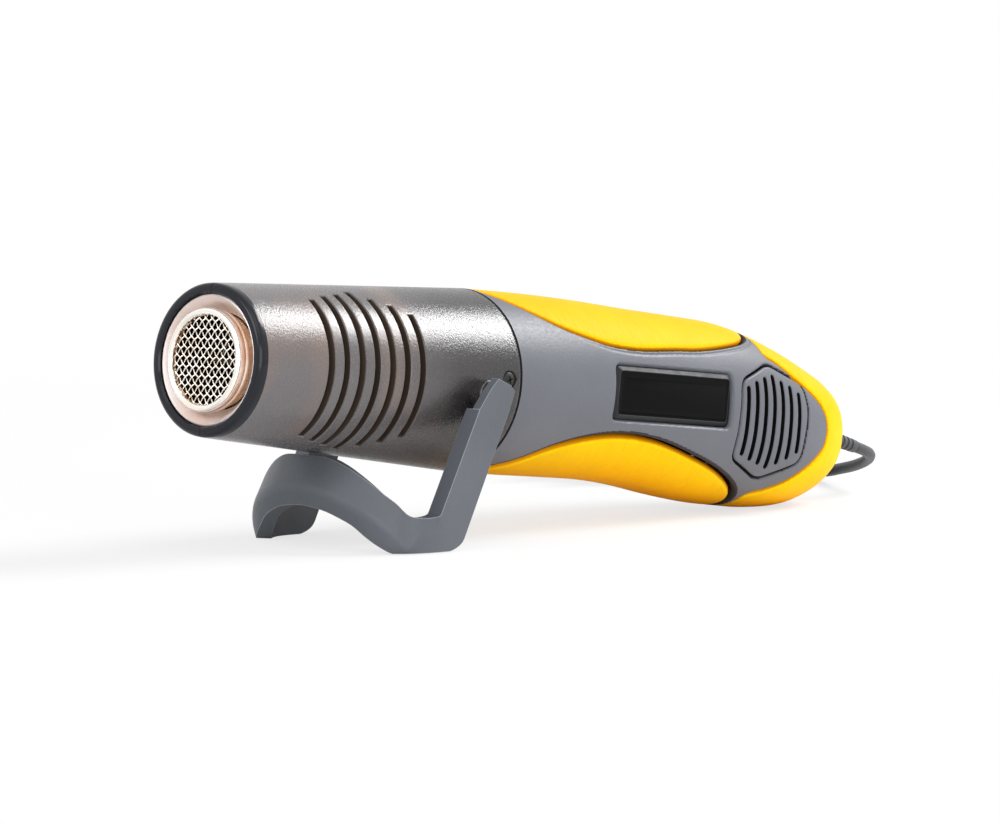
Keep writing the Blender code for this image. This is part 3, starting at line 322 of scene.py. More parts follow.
TOP_REGION, BOTTOM_REGION, REAR_REGION = [
    [*line_through(edge, spacing=OUTLINE_SPACING), *beyond]
    for edge, beyond in (
        (TOP_EDGE, ((TOP_EDGE[-1][0], 0.034), (TOP_EDGE[0][0], 0.034))),
        (BOTTOM_EDGE, ((BOTTOM_EDGE[-1][0], -0.040), (BOTTOM_EDGE[0][0], -0.040))),
        (REAR_EDGE, ((REAR_EDGE[-1][0], -0.045), (0.28, -0.045), (0.28, 0.045), (REAR_EDGE[0][0], 0.045))),
    )
]
VENT_REGION = rounded(VENT_OUTLINE, 0.0028)
PLATE_REGION = rounded(box_corners(PLATE_LENGTH / 2, PLATE_HEIGHT / 2, PLATE_X, PLATE_Z), PLATE_CORNER)
SWITCH_REGION = box_corners(SWITCH_LENGTH / 2 + SWITCH_FLANGE, SWITCH_HEIGHT / 2 + SWITCH_FLANGE, SWITCH_X)


# Materials


def new_material(name):
    made = bpy.data.materials.new(name)
    made.use_nodes = True
    return made, made.node_tree, made.node_tree.nodes["Principled BSDF"]


def feed(target, values):
    """Gives a node's inputs their values, or links them to the outputs given."""
    for key, value in values.items():
        if isinstance(value, bpy.types.NodeSocket):
            target.id_data.links.new(value, target.inputs[key])
        else:
            target.inputs[key].default_value = value


def node(tree, kind, values=(), **settings):
    made = tree.nodes.new(kind)
    for key, value in settings.items():
        setattr(made, key, value)
    feed(made, dict(values))
    return made


def tool_coordinates(tree, scale=(1, 1, 1)):
    """Coordinates of the tool's own frame, scaled."""
    vector = node(tree, "ShaderNodeTexCoord").outputs["Object"]
    for step in ({"Location": (-ORIGIN_X, 0, -TABLE_DROP)}, {"Rotation": (0, -PITCH, 0)}, {"Scale": scale}):
        vector = node(tree, "ShaderNodeMapping", {"Vector": vector, **step}).outputs["Vector"]
    return vector


def axis_of(vector, axis):
    return node(vector.id_data, "ShaderNodeSeparateXYZ", {"Vector": vector}).outputs[axis]


def noise(vector, scale, detail=3.0, roughness=0.5):
    values = {"Vector": vector, "Scale": scale, "Detail": detail, "Roughness": roughness}
    return node(vector.id_data, "ShaderNodeTexNoise", values).outputs["Fac"]


def ramp(value, *stops):
    made = node(value.id_data, "ShaderNodeValToRGB", {"Fac": value})
    elements = made.color_ramp.elements
    while len(elements) < len(stops):
        elements.new(0.5)
    for element, (place, colour) in zip(elements, stops):
        element.position = place
        element.color = (*colour, 1.0)
    return made.outputs["Color"]


def mix(share, first, second, blend="MIX"):
    second = second if isinstance(second, bpy.types.NodeSocket) else (*second, 1.0)
    values = {0: share, 6: first, 7: second}
    return node(first.id_data, "ShaderNodeMix", values, data_type="RGBA", blend_type=blend).outputs[2]


def map_range(value, low, high, to_low=0.0, to_high=1.0):
    values = {"Value": value, "From Min": low, "From Max": high, "To Min": to_low, "To Max": to_high}
    return node(value.id_data, "ShaderNodeMapRange", values, clamp=True).outputs["Result"]


def maths(operation, first, second):
    return node(first.id_data, "ShaderNodeMath", {0: first, 1: second}, operation=operation).outputs[0]


def bump(shader, height, strength, distance, under=None):
    values = {"Strength": strength, "Distance": distance, "Height": height}
    if under:
        values["Normal"] = under
    made = node(shader.id_data, "ShaderNodeBump", values).outputs["Normal"]
    feed(shader, {"Normal": made})
    return made


def plastic(name, colour, shade=0.12, roughness=0.45, grain=1800.0, relief=0.25, depth=0.00006, gloss=0.35):
    """Moulded plastic: slight colour drift, a fine spark-eroded grain, and roughness that follows it."""
    made, tree, shader = new_material(name)
    vector = tool_coordinates(tree)
    darker, lighter = [tuple(min(1.0, c * part) for c in colour) for part in (1 - shade, 1 + shade)]
    fine = noise(vector, grain, 2.0, 0.6)
    feed(shader, {
        "Base Color": ramp(noise(vector, 38.0), (0.35, darker), (0.65, lighter)),
        "Roughness": map_range(fine, 0.3, 0.7, roughness - 0.06, roughness + 0.08),
        "Specular IOR Level": gloss,
    })
    bump(shader, fine, relief, depth)
    return made


def metal(name, colour, roughness=0.25, tint=None, grain=900.0, relief=0.12, stretch=(1, 1, 1)):
    """Bare metal with fine drawn or rolled marks, and an optional heat tint in broad clouds."""
    made, tree, shader = new_material(name)
    tint = tint or tuple(0.86 * c for c in colour)
    marks = noise(tool_coordinates(tree, stretch), grain, 3.0, 0.6)
    feed(shader, {
        "Metallic": 1.0,
        "Base Color": ramp(noise(tool_coordinates(tree), 120.0), (0.38, colour), (0.66, tint)),
        "Roughness": map_range(marks, 0.3, 0.7, roughness - 0.07, roughness + 0.09),
    })
    bump(shader, marks, relief, 0.00003)
    return made


def make_grip_yellow():
    """Soft overmoulding: yellow with painted shade by facing, orange where it faces down, and short upright ridges
    painted a darker orange.
    """
    made, tree, shader = new_material("soft_yellow")
    vector = tool_coordinates(tree)
    # colour follows the surface's facing: painted shade, orange on faces turned down
    upward = map_range(axis_of(node(tree, "ShaderNodeNewGeometry").outputs["Normal"], "Z"), -0.95, 0.75)
    facing_shade_greens = ((0.0, 0.46, 0.0), (0.2, 0.62, 0.0), (0.42, 0.70, 0.0), (0.7, 0.60, 0.0), (1.0, 0.56, 0.004))
    colour = ramp(upward, *((place, (1.0, green, blue)) for place, green, blue in facing_shade_greens))
    dashes = noise(tool_coordinates(tree, (1.0, 0.16, 0.16)), 1350.0, 1.0)
    # the ridges are painted a darker orange: painted shade of their relief
    colour = mix(map_range(dashes, 0.50, 0.66, 0.0, 0.22), colour, (1.0, 0.47, 0.0))
    soft = ramp(noise(vector, 60.0), (0.3, (0.93, 0.93, 0.93)), (0.7, (1.0, 1.0, 1.0)))
    fine = noise(vector, 2000.0, 2.0)
    feed(shader, {
        "Base Color": mix(1.0, colour, soft, "MULTIPLY"),
        "Roughness": map_range(fine, 0.3, 0.7, 0.42, 0.55),
        "Specular IOR Level": 0.05,
    })
    bump(shader, map_range(dashes, 0.50, 0.66), 0.6, 0.00010, bump(shader, fine, 0.2, 0.00005))
    return made


def make_smoked():
    """Tinted see-through plastic over the warm shield: brown in front, nearly black towards the neck, where the dark
    neck shows through and shade is painted in.
    """
    made, tree, shader = new_material("smoked_plastic")
    vector = tool_coordinates(tree)
    back = axis_of(vector, "X")
    # darker towards the neck: partly the dark parts behind, partly painted shade
    base = ramp(
        map_range(back, 0.0, GUARD_LENGTH),
        (0.0, (0.140, 0.128, 0.132)), (0.30, (0.130, 0.117, 0.119)), (0.60, (0.088, 0.079, 0.080)),
        (0.76, (0.036, 0.032, 0.034)), (0.97, (0.022, 0.020, 0.022)),
    )
    clouds = noise(tool_coordinates(tree, (1.0, 0.5, 0.5)), 58.0, 1.0)
    copper = maths("MULTIPLY", map_range(clouds, 0.54, 0.76, 0.0, 0.75), map_range(back, 0.058, 0.070, 1.0, 0.0))
    grain = noise(vector, 1700.0, 2.0, 0.7)
    feed(shader, {
        "Base Color": mix(copper, base, (0.215, 0.150, 0.120)),
        "Roughness": map_range(grain, 0.3, 0.7, 0.18, 0.30),
        "Specular IOR Level": 0.8,
        "Alpha": 0.93,
    })
    bump(shader, grain, 1.0, 0.00010)
    return made


def make_heated_tube():
    """Steel with the straw, copper and violet bands that heat leaves on it."""
    made, tree, shader = new_material("heat_tinted_steel")
    vector = tool_coordinates(tree)
    bands = ramp(
        map_range(axis_of(vector, "X"), 0.0, 0.030),
        (0.0, (0.95, 0.84, 0.70)), (0.22, (0.93, 0.68, 0.44)), (0.5, (0.72, 0.38, 0.20)), (1.0, (0.34, 0.17, 0.13)),
    )
    clouds = noise(vector, 220.0)
    feed(shader, {
        "Metallic": 1.0,
        "Base Color": mix(map_range(clouds, 0.35, 0.7, 0.0, 0.5), bands, (0.50, 0.33, 0.28)),
        "Roughness": map_range(clouds, 0.3, 0.7, 0.20, 0.34),
    })
    bump(shader, noise(vector, 900.0), 0.15, 0.00004)
    return made


def make_shield():
    """Warm metal in front, painted nearly black behind the sixth slot: soot, and painted shade inside the covered neck.
    """
    made = metal("warm_shield", (0.17, 0.10, 0.065), roughness=0.5, tint=(0.09, 0.055, 0.04))
    tree, shader = made.node_tree, made.node_tree.nodes["Principled BSDF"]
    # nearly black from the sixth slot back: painted shade, with soot
    dark = map_range(axis_of(tool_coordinates(tree), "X"), 0.0535, 0.0560)
    warm = shader.inputs["Base Color"].links[0].from_socket
    feed(shader, {"Base Color": mix(dark, warm, (0.012, 0.011, 0.011))})
    return made


def make_floor_finish():
    """Matt near-white that turns to plain white away from the tool, where the camera sees it."""
    made, tree, shader = new_material("pale_floor")
    place = node(tree, "ShaderNodeTexCoord").outputs["Object"]
    feed(shader, {
        "Roughness": 0.9,
        "Specular IOR Level": 0.0,
        "Base Color": ramp(noise(place, 3.0), (0.3, (0.90, 0.90, 0.90)), (0.7, (0.92, 0.92, 0.92))),
    })
    camera_ray = node(tree, "ShaderNodeLightPath").outputs["Is Camera Ray"]
    far = node(tree, "ShaderNodeVectorMath", {0: place}, operation="LENGTH").outputs["Value"]
    white = node(tree, "ShaderNodeEmission", {"Color": (1, 1, 1, 1), "Strength": 1.0}).outputs["Emission"]
    share = maths("MULTIPLY", camera_ray, map_range(far, 0.22, 0.60, 0.72, 1.0))
    blend = node(tree, "ShaderNodeMixShader", {"Fac": share, 1: shader.outputs["BSDF"], 2: white})
    feed(tree.nodes["Material Output"], {"Surface": blend.outputs["Shader"]})
    return made


GRAINED = {"grain": 1300.0, "relief": 0.6, "depth": 0.00010}
FINISH = {
    "handle_grey": plastic("moulded_grey", (0.140, 0.146, 0.170), shade=0.05, roughness=0.42, **GRAINED),
    "handle_shade": plastic("shaded_grey", (0.040, 0.036, 0.042), roughness=0.6, gloss=0.15),
    # darker orange for the grips' rims and walls: painted shade at their rounded edges
    "grip_rim": plastic("orange_rim_painted_shade", (0.86, 0.33, 0.0), shade=0.04, roughness=0.6, gloss=0.08),
    "grip_yellow": make_grip_yellow(),
    "smoked_guard": make_smoked(),
    "nose_ring": plastic("glossy_ring", (0.009, 0.010, 0.015), roughness=0.16, relief=0.04, gloss=0.3),
    "stand_grey": plastic(
        "stand_grey_plastic", (0.110, 0.122, 0.140), shade=0.08, roughness=0.40, gloss=0.45, **GRAINED,
    ),
    # dark brown for the walls of the guard's slots: painted shade inside the cuts
    "guard_cut": plastic("painted_shade_slot_walls", (0.062, 0.044, 0.033), roughness=0.55, gloss=0.12),
    "rocker_black": plastic("rocker_black_plastic", (0.030, 0.030, 0.033), roughness=0.26, relief=0.1, gloss=0.5),
    # light grey for the stand's bevelled edges: painted highlight
    "stand_edge": plastic(
        "painted_highlight_edge_grey", (0.330, 0.355, 0.395), shade=0.06, roughness=0.36, grain=1300.0, relief=0.3, gloss=0.5,
    ),
    "gloss_black": plastic(
        "gloss_black_plastic", (0.003, 0.003, 0.0034), roughness=0.08, grain=300.0, relief=0.01, gloss=0.04,
    ),
    "plate_border": plastic(
        "plate_border_plastic", (0.030, 0.031, 0.034), roughness=0.34, grain=300.0, relief=0.01, gloss=0.08,
    ),
    "deep_black": plastic("shaded_black", (0.006, 0.006, 0.007), roughness=0.6, gloss=0.1),
    "black_plastic": plastic("matt_black_plastic", (0.020, 0.020, 0.022), roughness=0.42),
    "steel": metal("bright_steel", (0.62, 0.60, 0.58), roughness=0.24),
    "nozzle_steel": metal(
        "rolled_steel", (1.0, 0.97, 0.92), roughness=0.16, tint=(0.97, 0.90, 0.82), stretch=(6, 1, 1),
    ),
    "warm_collar": metal(
        "heat_tinted_collar", (0.98, 0.84, 0.73), roughness=0.12, tint=(0.86, 0.62, 0.46), stretch=(6, 1, 1),
    ),
    "wire_steel": metal("woven_wire_steel", (0.96, 0.92, 0.86), roughness=0.2, tint=(0.84, 0.76, 0.66)),
    "reflector": metal("dull_reflector", (0.97, 0.92, 0.92), roughness=0.55, tint=(0.94, 0.87, 0.86), grain=500.0),
    "heated_steel": make_heated_tube(),
    "copper_shield": make_shield(),
    "scorched": metal("scorched_metal", (0.10, 0.065, 0.045), roughness=0.5, tint=(0.05, 0.03, 0.025)),
    "motor_steel": metal("motor_can", (0.45, 0.45, 0.47), roughness=0.35),
    "mica": plastic("mica_board", (0.10, 0.075, 0.05), roughness=0.5, grain=400.0),
    "ceramic": plastic("white_ceramic", (0.78, 0.76, 0.70), roughness=0.6),
    "board_green": plastic("board_green_resist", (0.03, 0.18, 0.08), roughness=0.35, grain=500.0),
    "cord_grey": plastic("cord_grey_rubber", (0.070, 0.073, 0.080), roughness=0.5, grain=1500.0),
}
for one in NODES.values():
    for place in one.material_slots:
        wanted = (place.material.name if place.material else "").split(".")[0]
        place.material = FINISH.get(wanted, FINISH["black_plastic"])


# Camera, light and floor


def add_object(name, data):
    made = bpy.data.objects.new(name, data)
    bpy.context.scene.collection.objects.link(made)
    return made


def to_mesh(bm, name):
    mesh = bpy.data.meshes.new(name)
    bm.to_mesh(mesh)
    bm.free()
    return mesh


def make_camera():
    toward = Vector((-0.7330, -0.6757, 0.0787)).normalized()
    target = Vector((-0.0207, 0.0, 0.0324))
    right = Vector((0, 0, 1)).cross(toward).normalized()
    up = toward.cross(right)
    x_axis = right * math.cos(CAMERA_ROLL) + up * math.sin(CAMERA_ROLL)
    y_axis = up * math.cos(CAMERA_ROLL) - right * math.sin(CAMERA_ROLL)
    data = bpy.data.cameras.new("photo_camera")
    data.sensor_width = 36.0
    data.lens = 181.04
    data.clip_start = 0.05
    data.clip_end = 20
    camera = add_object("photo_camera", data)
    turn = Matrix((x_axis, y_axis, toward)).transposed().to_4x4()
    turn.translation = target + toward * CAMERA_DISTANCE
    camera.matrix_world = turn
    bpy.context.scene.camera = camera


def area_light(name, place, size, power, aim=(0.0, 0.0, 0.03)):
    data = bpy.data.lights.new(name, "AREA")
    data.shape = "RECTANGLE"
    data.size, data.size_y = size
    data.energy = power
    lamp = add_object(name, data)
    lamp.location = place
    lamp.rotation_mode = "QUATERNION"
    lamp.rotation_quaternion = (Vector(aim) - Vector(place)).to_track_quat("-Z", "Y")


def make_stage():
    bm = bmesh.new()
    bmesh.ops.create_grid(bm, x_segments=8, y_segments=8, size=30.0)
    mesh = to_mesh(bm, "floor")
    mesh.materials.append(make_floor_finish())
    floor = add_object("floor", mesh)
    floor.location.z = -0.0002
    world = bpy.data.worlds.new("studio")
    bpy.context.scene.world = world
    world.use_nodes = True
    path = node(world.node_tree, "ShaderNodeLightPath").outputs
    seen = maths("MAXIMUM", path["Is Camera Ray"], path["Is Transmission Ray"])
    strength = map_range(maths("MAXIMUM", seen, path["Is Glossy Ray"]), 0.0, 1.0, WORLD_LIGHT, 1.0)
    feed(world.node_tree.nodes["Background"], {"Color": (1, 1, 1, 1), "Strength": strength})
    area_light("soft_box", (0.90, -0.30, 0.81), (0.60, 0.46), 13.0)
    area_light("key_above", (-0.45, -0.60, 1.05), (1.1, 0.7), 2.5)
    area_light("fill_front", (-0.75, -1.15, 0.20), (1.3, 0.8), 7.5)
    area_light("nose_light", (-1.20, 0.10, 0.70), (0.7, 0.6), 4.5, aim=(-0.05, 0.0, 0.03))


# Making pieces


def finish_piece(name, form, finishes, body, replaced=(), matrix=TOOL, smooth=35):
    """Makes a piece from a bmesh: its finishes are one name, or a list by material index."""
    mesh = to_mesh(form, name)
    mesh.transform(matrix)
    finishes = [finishes] if isinstance(finishes, str) else finishes
    for key in finishes:
        mesh.materials.append(FINISH[key])
    mesh.shade_smooth()
    if smooth:
        mesh.set_sharp_from_angle(angle=math.radians(smooth))
    obj = add_object(name, mesh)
    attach(obj, body)
    if replaced:
        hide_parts(*replaced)
    return obj


def soften(piece, width, segments, angle, material=-1):
    bevel = piece.modifiers.new("soft_edges", "BEVEL")
    bevel.width, bevel.segments, bevel.material = width, segments, material
    bevel.limit_method = "ANGLE"
    bevel.angle_limit = math.radians(angle)
    bevel.harden_normals = True


def skin(*forms, ends=()):
    """Closes forms over rows of points that go round them; a row of one repeated point is a tip."""
    bm = bmesh.new()
    for form in forms:
        rows = [
            [bm.verts.new(row[0])] * len(row) if row[0] == row[-1] else [bm.verts.new(p) for p in row] for row in form
        ]
        for first, second in zip(rows, rows[1:]):
            for i in range(len(first)):
                j = (i + 1) % len(first)
                corners = list(dict.fromkeys((first[i], first[j], second[j], second[i])))
                if len(corners) > 2:
                    bm.faces.new(corners)
        for end in ends:
            bm.faces.new(rows[end])
    bmesh.ops.recalc_face_normals(bm, faces=bm.faces)
    return bm


def turned(profile, steps=96, place=lambda along, a, b: (along, a, b)):
    """Turns (distance, radius) points about the barrel's axis, or about the axis that place puts them on."""
    def ring(radius):
        return [ring_point(radius, i / steps) for i in range(steps)] if radius > 1e-6 else [(0, 0)] * steps

    return skin([[place(along, a, b) for a, b in ring(radius)] for along, radius in profile])


def paint(bm, chosen):
    """Gives the second finish to the faces whose middle's distance back and radius are chosen."""
    for face in bm.faces:
        middle = face.calc_center_median()
        face.material_index = int(chosen(middle.x, math.hypot(middle.y, middle.z)))
    return bm


def surface_normals(surface, u, v, u_high):
    step = 1e-4
    u = np.minimum(u, u_high - 2e-3)
    across = surface(u + step, v) - surface(u - step, v)
    around = surface(u, v + step) - surface(u, v - step)
    normals = np.cross(across, around)
    return normals / np.maximum(np.linalg.norm(normals, axis=1), 1e-12)[:, None]


def fine_grid(surface, cells, span, keep, refine):
    """Places and faces of a grid over the span, refined near the outline, and closed where it goes full circle."""
    (u_low, u_high), (v_low, v_high) = span
    bm = bmesh.new()
    rows = []
    for u in np.linspace(u_low, u_high, cells[0] + 1):
        rows.append([bm.verts.new((u, v, 0)) for v in np.linspace(v_low, v_high, cells[1] + 1)])
    for first, second in zip(rows, rows[1:]):
        for j in range(cells[1]):
            bm.faces.new((first[j], first[j + 1], second[j + 1], second[j]))
    bm.verts.index_update()
    places = np.array([v.co[:2] for v in bm.verts])
    near = np.abs(keep(surface(places[:, 0], places[:, 1]))) < refine
    chosen = {e for f in bm.faces if any(near[v.index] for v in f.verts) for e in f.edges}
    bmesh.ops.subdivide_edges(bm, edges=list(chosen), cuts=PATCH_CUTS, use_grid_fill=True)
    bm.verts.index_update()
    places = np.array([v.co[:2] for v in bm.verts])
    faces = [[v.index for v in f.verts] for f in bm.faces]
    bm.free()
    if v_high - v_low == 1.0:
        seam = {round(u, 7): i for i, (u, v) in enumerate(places.tolist()) if v < v_low + 1e-9}
        same = [seam.get(round(u, 7), i) if v > v_high - 1e-6 else i for i, (u, v) in enumerate(places.tolist())]
        faces = [[same[i] for i in face] for face in faces]
    return places, faces


def patch(surface, cells, span, keep, sink, wall, refine=0.0017, snap=0.00016, ring=None, walls=0, rim=None):
    """The part of a surface where keep is positive, with its edge on the outline, sunk by sink and walled inwards.

    The grid is refined near each outline, and the vertices next to an outline are moved onto it. Faces in
    front of ring take the second finish; the walls, and the faces that rim picks, take finish number walls.
    """
    (u_low, u_high), (v_low, v_high) = span
    places, faces = fine_grid(surface, cells, span, keep, refine)
    u, v = places[:, 0].copy(), places[:, 1].copy()
    step = 1e-5
    for _ in range(2):
        at = surface(u, v)
        there = keep(at)
        slopes = []
        for beside in (surface(u + step, v), surface(u, v + step)):
            long = np.linalg.norm(beside - at, axis=1) / step + 1e-9
            slopes.append(((keep(beside) - there) / step / long, long))
        size = slopes[0][0] ** 2 + slopes[1][0] ** 2
        moved = (np.abs(there) < snap) & (size > LEAST_SLOPE)
        u, v = [
            np.where(moved, place - there * slope / np.maximum(size, LEAST_SLOPE) / long, place)
            for place, (slope, long) in zip((u, v), slopes)
        ]
        u, v = np.clip(u, u_low, u_high), np.clip(v, v_low, v_high)
    at = surface(u, v)
    there = keep(at)
    normals = surface_normals(surface, u, v, u_high)
    points = [Vector(p) for p in at - normals * sink(at, there)[:, None]]
    kept = []
    for face in faces:
        corners = [i for i in face if there[i] > -0.00003]
        if len(corners) > 2 and any(there[i] > 0.00002 for i in corners):
            kept.append(corners)
    rimmed = rim(np.array([at[corners].mean(axis=0) for corners in kept])) if rim else np.zeros(len(kept), bool)
    uses = {}
    for corners in kept:
        for a, b in zip(corners, corners[1:] + corners[:1]):
            uses.setdefault((min(a, b), max(a, b)), []).append((a, b))
    low = {}
    shown = len(kept)
    for a, b in [found[0] for found in uses.values() if len(found) == 1]:
        for i in (a, b):
            if i not in low:
                low[i] = len(points)
                points.append(points[i] - Vector(normals[i]) * wall)
        kept.append([b, a, low[a], low[b]])
    bm = bmesh.new()
    verts = [bm.verts.new(p) for p in points]
    for number, corners in enumerate(kept):
        try:
            made = bm.faces.new([verts[i] for i in corners])
        except ValueError:
            continue
        made.material_index = int(ring is not None and made.calc_center_median().x < ring)
        if walls and (number >= shown or rimmed[number]):
            made.material_index = walls
    bmesh.ops.delete(bm, geom=[v for v in bm.verts if not v.link_faces], context="VERTS")
    bmesh.ops.remove_doubles(bm, verts=bm.verts, dist=0.000012)
    return bm


def edge_round(there, radius):
    """Depth of a rounded rim: the radius at the edge, nothing beyond it."""
    near = np.clip(there, 0, radius)
    return radius - np.sqrt(np.maximum(radius**2 - (radius - near) ** 2, 0))


# The handle, its soft grips and its vents


HANDLE_LINES = [line_through(line, count=HANDLE_SAMPLES + 1) for line in (CROWN, BELLY, PLAN)]
SHELL_GAPS = ((TOP_REGION, 0.00045), (BOTTOM_REGION, 0.0009), (REAR_REGION, 0.0004), (VENT_REGION, 0.0005))
SHELL_SHADES = ((BOTTOM_REGION, 0.0019), (VENT_REGION, 0.00072), (TOP_REGION, 0.0008))


def handle_surface(u, v):
    u = np.clip(u, 0, 1)
    places, samples = u * HANDLE_SAMPLES, np.arange(HANDLE_SAMPLES + 1)
    (top_x, top_z), (low_x, low_z), (mid_x, half_width) = [
        [np.interp(places, samples, column) for column in line.T] for line in HANDLE_LINES
    ]
    station = STATIONS * (1 - (1 - u) ** (2 / 3))
    power = 2 / (2.0 + 0.3 * np.minimum(1, station / 6))
    up, out = np.cos(math.tau * v), np.sin(math.tau * v)
    lift = np.abs(up) ** power
    reach = np.sign(out) * np.abs(out) ** power
    centre_z = (top_z + low_z) / 2
    end_x = np.where(up >= 0, top_x, low_x)
    end_z = np.where(up >= 0, top_z, low_z)
    return np.stack([mid_x + (end_x - mid_x) * lift, half_width * reach, centre_z + (end_z - centre_z) * lift], axis=1)


def make_handle(label, side):
    gaps = (*SHELL_GAPS, (PLATE_REGION, 0.0004) if side < 0 else (SWITCH_REGION, 0.0003))

    def keep(at):
        return np.min([-inside(at, region) - gap for region, gap in gaps], axis=0)

    def sink(at, there):
        groove = np.exp(-(((inside(at, TOP_REGION) + 0.0015) / 0.00035) ** 2))
        depth = edge_round(there, 0.0007) + 0.00028 * groove * np.clip((at[:, 0] - 0.120) / 0.030, 0, 1)
        depth += 0.0006 * np.clip(1 + inside(at, BOTTOM_REGION) / 0.0024, 0, 1) ** 2
        if side < 0:
            depth += 0.0009 * np.clip(1 + inside(at, PLATE_REGION) / 0.0011, 0, 1)
        return depth

    def rim(at):
        return np.any([-inside(at, region) < reach for region, reach in SHELL_SHADES], axis=0)

    v_span = (0.5002, 0.9998) if side < 0 else (0.0002, 0.4998)
    form = patch(handle_surface, (150, 68), ((0, 0.9995), v_span), keep, sink, 0.0021, refine=0.0026, walls=1, rim=rim)
    finish_piece("handle_shell_" + label, form, ["handle_grey", "handle_shade"], "tool", ["handle_" + label])


def make_skin(name, region, cells, u_span, v_span, axis=None):
    """A yellow overmoulding of the handle, with room round the strain relief where its axis is given."""
    def keep(at):
        there = inside(at, region)
        if axis is not None:
            start, heading = axis
            offset = at - start
            along = offset @ heading
            radial = np.linalg.norm(offset - along[:, None] * heading, axis=1)
            there = np.minimum(there, np.where(along > 0, radial - RELIEF_ROOT - CLEAR, FAR))
        return there

    # faces near the outline and the walls take the darker orange: painted shade at the grip's edge
    form = patch(
        handle_surface, cells, (u_span, v_span), keep, lambda at, there: edge_round(there, 0.0013), 0.0019,
        walls=1, rim=lambda at: keep(at) < 0.00045,
    )
    finish_piece(name + "_skin", form, ["grip_yellow", "grip_rim"], "tool", [name])


def make_vent_panel(label, side):
    def slots(at):
        best = np.full(len(at), FAR)
        for i, (top, bottom) in enumerate(zip(VENT_TOPS, VENT_BOTTOMS)):
            z = np.clip(at[:, 2], bottom + VENT_WIDTH / 2, top - VENT_WIDTH / 2)
            far = np.hypot(at[:, 0] - (VENT_FIRST + i * VENT_PITCH), at[:, 2] - z) - VENT_WIDTH / 2
            best = np.minimum(best, far)
        return best

    def sink(at, there):
        return edge_round(inside(at, VENT_REGION), 0.0006) + 0.4 * edge_round(np.maximum(slots(at), 0), 0.0004)

    span = ((0.50, 0.80), (0.60, 0.90) if side < 0 else (0.10, 0.40))
    # the slot walls take the near-black: painted shade inside the vents
    grille = patch(
        handle_surface, (80, 64), span, lambda at: np.minimum(inside(at, VENT_REGION), slots(at)), sink, 0.0022,
        snap=0.00013, walls=1,
    )
    finish_piece("vent_grille_" + label, grille, ["handle_grey", "deep_black"], "tool", ["vent_panel_" + label])
    # a near-black sheet behind the vent slots: painted shade seen through them
    screen = patch(
        handle_surface, (34, 28), span, lambda at: inside(at, VENT_REGION) - 0.0006,
        lambda at, there: np.full(len(at), 0.0024), 0.0004,
    )
    finish_piece("vent_shade_sheet_" + label, screen, "deep_black", "tool")


# The barrel guard and the nozzle


def arc(step, last=90):
    return [(math.sin(math.radians(turn)), math.cos(math.radians(turn))) for turn in range(0, last + 1, step)]


def guard_profile():
    line = [(NOSE_LIP_DEPTH, NOSE_LIP_INNER), (0.0006, NOSE_LIP_INNER)]
    line += [(LIP_ROUND * (1 - s), NOSE_LIP_INNER + LIP_ROUND * (1 - c)) for s, c in arc(18)]
    line += [(NOSE_ROUND * (1 - s), NOSE_RADIUS - NOSE_ROUND * (1 - c)) for s, c in reversed(arc(10))]
    line += [(back, guard_radius(back)) for back in np.linspace(NOSE_ROUND + 0.0006, GUARD_LENGTH - 0.0004, 60)]
    line += [(GUARD_LENGTH, NECK_RADIUS - 0.0004), (GUARD_LENGTH, NECK_RADIUS - GUARD_WALL)]
    along = length_along(np.array(line))
    return np.array(line), along / along[-1]


GUARD_LINE, GUARD_ALONG = guard_profile()


def guard_surface(u, v):
    back, radius = [np.interp(u, GUARD_ALONG, column) for column in GUARD_LINE.T]
    turn = math.tau * v
    return np.stack([back, radius * np.sin(turn), radius * np.cos(turn)], axis=1)


def make_guard(label, side):
    def keep(at):
        turn = np.arctan2(at[:, 2], side * at[:, 1])
        best = np.hypot(at[:, 0] - GUARD_SCREW[0], at[:, 2] - GUARD_SCREW[1]) - GUARD_SCREW_HEAD - CLEAR
        for i, half_angle in enumerate(SLOT_HALF_ANGLES):
            middle = SLOT_FIRST + i * SLOT_PITCH
            far = (np.abs(turn) - math.radians(half_angle)) * guard_radius(middle)
            best = np.minimum(best, np.maximum(np.abs(at[:, 0] - middle) - SLOT_WIDTH / 2, far))
        return best

    def sink(at, there):
        on_side = np.hypot(at[:, 1], at[:, 2]) > guard_radius(at[:, 0]) - 0.0001
        groove = 0.00022 * np.exp(-(((at[:, 0] - RING_DEPTH) / 0.00018) ** 2))
        return edge_round(there, 0.0003) + np.where(on_side, groove, 0.0)

    v_span = (0.5 + SEAM_SHARE, 1.0 - SEAM_SHARE) if side < 0 else (SEAM_SHARE, 0.5 - SEAM_SHARE)
    shell = patch(
        guard_surface, (150, 84), ((0.0, 1.0), v_span), keep, sink, 0.0021,
        refine=0.0010, snap=0.00013, ring=RING_DEPTH, walls=2,
    )
    # the slot walls take the dark brown: painted shade
    finishes = ["smoked_guard", "nose_ring", "guard_cut"]
    finish_piece("guard_shell_" + label, shell, finishes, "tool", ["barrel_guard_" + label])
    end = EAR_INNER - CLEAR
    profile = (
        (guard_radius(PIVOT_X) - 0.0012, BOSS_RADIUS), (end - 0.0003, BOSS_RADIUS), (end, BOSS_RADIUS - 0.0003),
        (end, BOSS_BORE), (end - 0.003, BOSS_BORE),
    )
    boss = turned(profile, 40, lambda y, a, b: (PIVOT_X + a, side * y, PIVOT_Z + b))
    finish_piece("pivot_boss_" + label, boss, "smoked_guard", "tool")


